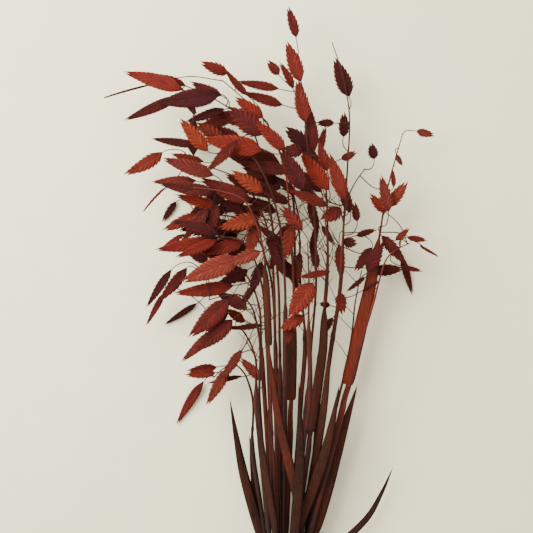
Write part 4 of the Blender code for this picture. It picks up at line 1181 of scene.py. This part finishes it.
def on_grid(x, y, z):
    """The point at height z that stands at this place of the grid, seen from the eye."""
    level = Vector(((x - GRID_X) * GRID, (GRID_Y - y) * GRID, GRID_Z))
    return EYE + (level - EYE) * ((EYE.z - z) / (EYE.z - GRID_Z))


def stalk_starts(stem):
    """Where stalks may leave a stem: points along its upper culm and its panicle's axis."""
    rows = line_samples(stem.line)
    return rows[np.argmax(rows[:, 1] > stem.neck.y - STALK_ROOM) :, :3]


def hang_spikelet(stems, spikelet, crowd, draw):
    """Hangs one spikelet where the grid has it, from the stem that bears it best, clear of all
    other stems; returns the stem and what spikelet_ribs takes."""
    x, y, tip_x, tip_y, width, height, tilt = spikelet
    foot = height == 0
    sweep, arch = draw.gauss(0, 0.05), draw.gauss(0, 0.06)
    droop = draw.uniform(-0.02, 0.16)
    for grain_may, stalk_may in OWN_CROSSINGS:
        for k in range(1 if foot else 17):
            z = max(height * MM + alternately(k) * 2 * MM, LOWEST_BASE)
            base = on_grid(x, y, z)
            tip = on_grid(tip_x, tip_y, z)
            length = (tip - base).length
            along = (tip - base - UP * (droop * length)).normalized()
            roll = math.radians(tilt)
            behind = base - along * (12 * MM)
            starts = []
            for stem in stems:
                gaps = np.linalg.norm(stem.starts - np.array(behind), axis=1)
                starts.append((gaps.min(), stem.name, stem, Vector(stem.starts[gaps.argmin()])))
            for _, _, stem, start in sorted(starts, key=lambda s: s[:2])[:6]:
                reach = (base - start).length
                if reach < SHORTEST_STALK:
                    continue
                lean = ((base - start) * (2 / reach) - along).normalized()
                full = width * GRID * FULLNESS
                way = (start, lean, base, along, roll, length, full, sweep, arch)
                whole = spikelet_ribs(*way)
                if foot:
                    base = base - UP * lowest(whole[3:])
                    way = (start, lean, base, *way[3:])
                    whole = spikelet_ribs(*way)
                elif lowest(whole[3:]) < 2 * GAP:
                    continue
                if lowest(whole[:4]) < 2 * GAP or highest(whole) > CEILING:
                    continue
                if crowd.take_in(stem.name, whole, grain_may, stalk_may):
                    return stem, way
    print("no room for", spikelet)
    return None


def fill_out(stem, missing, crowd, draw, middles):
    """Hangs the spikelets that the grid can't show, low down along the panicle's axis and only
    where those above are dense; returns what spikelet_ribs takes for each."""
    filled = []
    for k in range(missing):
        t = (k + 0.5) / missing
        run = t * (len(stem.axis) - 1)
        i = min(int(run), len(stem.axis) - 2)
        tangent = (stem.axis[i + 1] - stem.axis[i]).normalized()
        start = stem.axis[i].lerp(stem.axis[i + 1], run - i) - tangent * (2 * MM)
        side = 1 if k % 2 else -1
        heading = blend(stem.hang[0], stem.hang[1], t)
        size = stem.length * draw.uniform(0.72, 1.0)
        width = max(8.5 * MM, size * draw.uniform(0.30, 0.38))
        stalk = draw.uniform(6, 20) * MM
        tilt = draw.uniform(-25, 25)
        sweep = draw.gauss(0, 0.07)
        arch = draw.gauss(0, 0.10)
        for attempt in range(120):
            loose = 1 + (attempt % 80) / 20
            turn = heading + side * stem.spread + draw.gauss(0, 11) * loose
            climb = draw.gauss(-0.35 * max(0.0, start.z / MM - 30), 8) * loose
            climb = max(-50.0, min(30.0, climb))
            level = math.cos(math.radians(climb))
            along = Vector((
                math.cos(math.radians(turn)) * level,
                math.sin(math.radians(turn)) * level,
                math.sin(math.radians(climb)),
            ))
            roll = math.radians(tilt + draw.gauss(0, 6) * loose)
            lean = (tangent * 0.9 + along * 0.5).normalized()
            base = start + (lean * 0.5 + along * 0.5) * stalk
            ends = base, base + along * size
            if any(sorted((end - m).xy.length for m in middles)[2] > FILL_WITHIN for end in ends):
                continue
            way = (start, lean, base, along, roll, size, width, sweep, arch)
            whole = spikelet_ribs(*way)
            if lowest(whole) < 2 * GAP or highest(whole[3:]) > FILL_CEILING:
                continue
            grain_may, stalk_may = OWN_CROSSINGS[attempt // 40]
            if crowd.take_in(stem.name, whole, grain_may, stalk_may):
                filled.append(way)
                break
    return filled


def scales(base, along, roll, length, width, sweep, arch, draw):
    """Vertices of a whole spikelet, scale by scale, and the tone that each scale adds."""
    side, face = (np.array(v) for v in frame_of(along, roll))
    base, along = np.array(base), np.array(along)
    half = 0.5 * width
    count = max(5, min(12, round(length / SCALE_PITCH)))
    pitch = (1 - FIRST_TIP) / count
    splay = draw.uniform(*SPLAY) * MM * min(1.1, length / (38 * MM))
    u = scale_row / SCALE_ROWS
    inward, outward = np.array(SCALE_SECTION)[scale_corner].T
    spots, tones = [], []
    for i in range(2 * count):
        flip = 1 if i % 2 else -1
        tip = FIRST_TIP + (1 - FIRST_TIP) * i / (2 * count - 1)
        reach = max(0.30 + 0.10 * math.sin(math.pi * tip), 3.4 * pitch) * draw.uniform(0.94, 1.06)
        t = np.clip(tip - reach * (1 - u), 0.004, 1)
        room = np.interp(t, GRADES, WIDTHS) * half
        keel = room * (0.15 + 0.67 * np.sin(0.5 * math.pi * u) ** 0.9 + 0.18 * u**8)
        keel += splay * draw.uniform(0.7, 1.3) * u**8 * min(1, 0.3 + 3 * (1.02 - tip))
        margin = room * (1.10 * u ** (2.4 + 3.6 * tip**3) - 0.14)
        x = flip * (keel + (margin - keel) * inward)
        swell = SCALE_SWELL * (0.35 + 0.65 * u) * (0.55 + 0.45 * room / half)
        z = flip * outward * swell * (0 < scale_row) * (scale_row < SCALE_ROWS)
        z += LEVEL + draw.uniform(-0.06, 0.06) * MM
        y = t * length * (1 + TIP_REACH * t**3)
        bow = arch * length * t * (1 - t)
        sway = sweep * length * t * t
        spot = base + np.outer(y, along) + np.outer(x + sway, side) + np.outer(z + bow, face)
        spots.append(np.clip(spot, box_low, box_high))
        tones.append(np.full(len(spot), draw.uniform(-0.07, 0.07)))
    return np.vstack(spots), np.concatenate(tones)


def spikelets_mesh(stem, borne, draw):
    """All the spikelets of one stem as one mesh, each with its own shade."""
    whole = bmesh.new()
    spots, shades = [], []
    for (_, _, *form), shade in borne:
        spot, tone = scales(*form, draw)
        spots.append(spot)
        shades.append(np.clip(shade + tone, 0, 1))
        for _ in range(len(spot) // len(scale.vertices)):
            whole.from_mesh(scale)
    mesh = mesh_of(stem.name + "_spikelets", whole)
    mesh.vertices.foreach_set("co", np.vstack(spots).ravel())
    mesh.update()
    tell(mesh, "shade", np.concatenate(shades))
    return mesh


def stalk_run(start, lean, base, along):
    """A spikelet's stalk, from inside the culm to just inside the spikelet."""
    reach = (base - start).length
    knots = [start, start + lean * (0.5 * reach), base, base + along * (2 * MM)]
    points = flowing(knots, STALK_PACE)
    return points, np.linspace(1.15, 0.9, len(points)) * STALK_RADIUS


def bare_stalk(stem, crowd, draw):
    """A side stalk in the heart of the bunch that has shed its spikelet, in the first free
    direction that comes up."""
    for _ in range(12):
        start = Vector(stem.starts[draw.randrange(len(stem.starts))])
        lean = draw.choice((-1, 1)) * math.radians(draw.uniform(12, 52))
        out = Vector((math.sin(lean), math.cos(lean), draw.uniform(-0.15, 0.2)))
        reach = draw.uniform(14, 40) * MM
        nod = Vector((draw.uniform(-0.2, 0.2), -0.1, draw.uniform(-0.1, 0.1))) * reach
        points = [start, start + out * (0.5 * reach), start + out * reach + nod]
        tip = points[-1]
        if not (HEART_X[0] < tip.x < HEART_X[1] and HEART_Y[0] < tip.y < HEART_Y[1]):
            continue
        side, over = (across * STALK_RADIUS for across in frame_of(out, 0))
        ribs = [(point, -side, side, over) for point in points]
        within = lowest(ribs) > 2 * GAP and highest(ribs) < CEILING
        if within and crowd.clear(stem.name, ribs, ("culm",)):
            line = flowing(points, STALK_PACE)
            return line, np.linspace(0.9, 0.4, len(line)) * STALK_RADIUS
    return None


def spikelet_finish(name, stops):
    """Dyed scales: a pale rim and fine veins on each, and painted shade where each tucks under the
    next.
    """
    finish = Finish(name, 0.7, 0.11)
    across, along = finish.spread()
    flank = finish.sum("ABSOLUTE", finish.sum("MULTIPLY_ADD", across, 2.0, -1.0))
    vein = finish.sum("COSINE", finish.sum("MULTIPLY", flank, 2 * math.pi * SCALE_VEINS))
    patch = finish.mottle(5 * MM)
    speck = finish.mottle(0.8 * MM, detail=2.0)
    shade = finish.sum("MULTIPLY_ADD", finish.told("shade"), 0.84, -0.285)
    tone = finish.sum("MULTIPLY_ADD", patch, 0.50, shade)
    tone = finish.vary(tone, speck, 0.24)
    tone = finish.sum("MULTIPLY_ADD", vein, 0.12, tone)
    tone = finish.sum("ADD", tone, finish.fade(along, 0.25, 1.0, -0.06, 0.16))
    tone = finish.sum("MULTIPLY", tone, 0.8)
    colour = finish.ramp(tone, stops)
    margin = finish.fade(flank, 0.12, 0.26, 0.78, 0.0)
    rim = finish.sum("MULTIPLY", margin, finish.fade(along, 0.1, 0.5))
    colour = finish.mix(rim, colour, finish.ramp(finish.sum("ADD", tone, 0.29), stops))
    # Painted shade: towards the keel and short of its tip, each scale is darkened to near black
    # where it tucks under the next one's margin.
    inner = finish.fade(flank, 0.25, 0.6)
    painted_shade = finish.sum("MULTIPLY", inner, finish.fade(along, 0.66, 0.86, 0.52, 0.0))
    colour = finish.mix(painted_shade, colour, (0.014, 0.0030, 0.0032))
    relief = finish.sum("MULTIPLY_ADD", speck, 0.8, vein)
    return finish.surface(colour, finish.fade(patch, 0.3, 0.7, 0.6, 0.82), relief, 0.12 * MM)


box_low = np.array(cad_low) + 0.06 * MM
box_high = np.array(cad_high) - 0.06 * MM
scale, scale_corner, scale_row = rolled(SCALE_CORNERS, SCALE_ROWS)
GRADES = np.linspace(0, 1, 81)
WIDTHS = np.array([outline(t) for t in GRADES])

dyed = {}
for slot in SLOTS:
    stops = list(zip(DYE_STOPS, DYED[slot]))
    dyed[slot] = spikelet_finish(slot.replace("_", " ") + " scales", stops)
draw = random.Random(SEED)
for stem in STEMS:
    stem.starts = stalk_starts(stem)
    stem.borne = []
for *spikelet, shade in SPIKELETS:
    hung = hang_spikelet(STEMS, spikelet, crowd, draw)
    if hung:
        hung[0].borne.append((hung[1], shade))
middles = [base + along * (0.5 * length) for stem in STEMS
           for (_, _, base, along, _, length, *_), _ in stem.borne]
for i, stem in enumerate(STEMS):
    draw = random.Random(SEED * 100 + i)
    missing = max(0, stem.least - len(stem.borne))
    hidden = fill_out(stem, missing, crowd, draw, middles)
    look = random.Random(SEED * 500 + i)
    stem.borne += [(way, look.uniform(*HIDDEN_SHADES)) for way in hidden]
    put(spikelets_mesh(stem, stem.borne, look), dyed[stem.slot_name], stem.name)
    runs = [stalk_run(*way[:4]) for way, _ in stem.borne]
    shed = [bare_stalk(stem, crowd, look) for _ in range(BARE_STALKS)]
    runs += [run for run in shed if run]
    stalks = drawn_rods(stem.name + "_stalks", runs, 1)
    tell(stalks, "tone", np.full(len(stalks.vertices), STALK_TONE))
    put(stalks, dyed_straw, stem.name)

# ---------------------------------------------------------------------------------------
# Tie. Three turns of two-ply jute twine round the waist of the bunch, drawn tight, with one
# short cross turn over them as a knot, whose ends are tucked under. Rough, hairy and dull.

PLY_RADIUS = 0.54 * MM
PLY_OFFSET = 0.44 * MM        # from the middle of the twine to the middle of a ply
TWIST = 7 * MM                # length of one full twist of the two plies


def plies(path):
    """The two plies of twine that twist round each other along a path, as (points, radii)."""
    steps = np.diff(path, axis=0)
    travelled = np.concatenate([[0], np.cumsum(np.linalg.norm(steps, axis=1))])
    ahead = np.gradient(path, axis=0)
    ahead /= np.linalg.norm(ahead, axis=1)[:, None]
    out = path - np.array([0, 1, 0]) * path[:, 1:2] - np.array([0, 0, waist_z])
    out -= ahead * (out * ahead).sum(1)[:, None]
    out /= np.linalg.norm(out, axis=1)[:, None]
    level = np.cross(ahead, out)
    turn = (travelled * 2 * math.pi / TWIST)[:, None]
    aside = (out * np.cos(turn) + level * np.sin(turn)) * PLY_OFFSET
    radii = np.full(len(path), PLY_RADIUS)
    return [(path + aside, radii), (path - aside, radii)]


def twine_finish():
    """Jute: straw-coloured fibres laid along each ply, mottled light and dark."""
    finish = Finish("jute twine", 0.9, 0.1)
    fibre = finish.mottle(0.35 * MM, (4, 0.8, 4), detail=4.0)
    patch = finish.mottle(4 * MM)
    tone = finish.sum("MULTIPLY_ADD", patch, 0.5, finish.sum("MULTIPLY", fibre, 0.5))
    colour = finish.ramp(tone, [
        (0.25, (0.085, 0.048, 0.024)),
        (0.5, (0.190, 0.120, 0.064)),
        (0.75, (0.300, 0.215, 0.130)),
    ])
    return finish.surface(colour, finish.fade(fibre, 0.3, 0.7, 0.8, 0.98), fibre, 0.25 * MM)


ring = waist_radius + GAP + 0.5 * TWINE
turns = np.linspace(0, 2 * math.pi * TIE_TURNS, 60 * TIE_TURNS) + 0.5 * math.pi
lead = np.linspace(-1, 1, len(turns)) * (TIE_HALF - PLY_RADIUS - PLY_OFFSET)
winding = np.stack([np.cos(turns) * ring, lead, np.sin(turns) * ring + waist_z], axis=1)
top = waist_z + ring
cross = flowing(
    [
        (-2.2 * MM, -3.4 * MM, top - 1.7 * MM),
        (-1.2 * MM, -2.6 * MM, top + 0.9 * MM),
        (0.2 * MM, 0.0, top + 1.9 * MM),
        (1.5 * MM, 2.6 * MM, top + 0.9 * MM),
        (2.4 * MM, 3.4 * MM, top - 1.7 * MM),
    ],
    0.7 * MM,
)
twine = drawn_rods("tie_twine", [*plies(winding), *plies(cross)], 1)
put(twine, twine_finish(), "tie")

# ---------------------------------------------------------------------------------------
# Floor, light and camera. A pale matt table top, one broad soft light from the upper left
# and a bright even room. The camera looks straight down, as the photograph does.

slab = bmesh.new()
bmesh.ops.create_grid(slab, x_segments=1, y_segments=1, size=6)
bmesh.ops.translate(slab, verts=slab.verts[:], vec=(0, 0, -0.25 * MM))
floor = placed("table_top", mesh_of("table_top", slab))
table = Finish("pale table top", 0.6, 0.3)
grain = table.mottle(30 * MM, detail=5.0)
table.feed(
    table.shader.inputs["Base Color"],
    table.ramp(grain, [(0.2, (0.83, 0.765, 0.52)), (0.8, (0.87, 0.805, 0.56))]),
)
floor.data.materials.append(table.material)
floor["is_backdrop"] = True

world = bpy.context.scene.world or bpy.data.worlds.new("room")
bpy.context.scene.world = world
world.use_nodes = True
room = world.node_tree.nodes["Background"]
room.inputs["Color"].default_value = (1.0, 0.985, 0.96, 1)
room.inputs["Strength"].default_value = 1.15

lamp = bpy.data.lights.new("window", "AREA")
lamp.shape = "RECTANGLE"
lamp.size = 0.9
lamp.size_y = 0.9
lamp.energy = 33
lamp.color = (1.0, 0.99, 0.97)
window = placed("window", lamp)
window.location = (-0.6, 0.7, 0.8)
window.visible_camera = False
aim = Vector((0.0, 0.25, 0.0)) - window.location
window.rotation_euler = aim.to_track_quat("-Z", "Y").to_euler()

VIEW_FIELD = 436 * MM         # width of table that the photograph takes in, at the bunch's middle
eye = bpy.data.cameras.new("camera")
eye.angle = 2 * math.atan(0.5 * VIEW_FIELD / (EYE.z - GRID_Z))
camera = placed("camera", eye)
camera.location = EYE
bpy.context.scene.camera = camera

low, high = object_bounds()
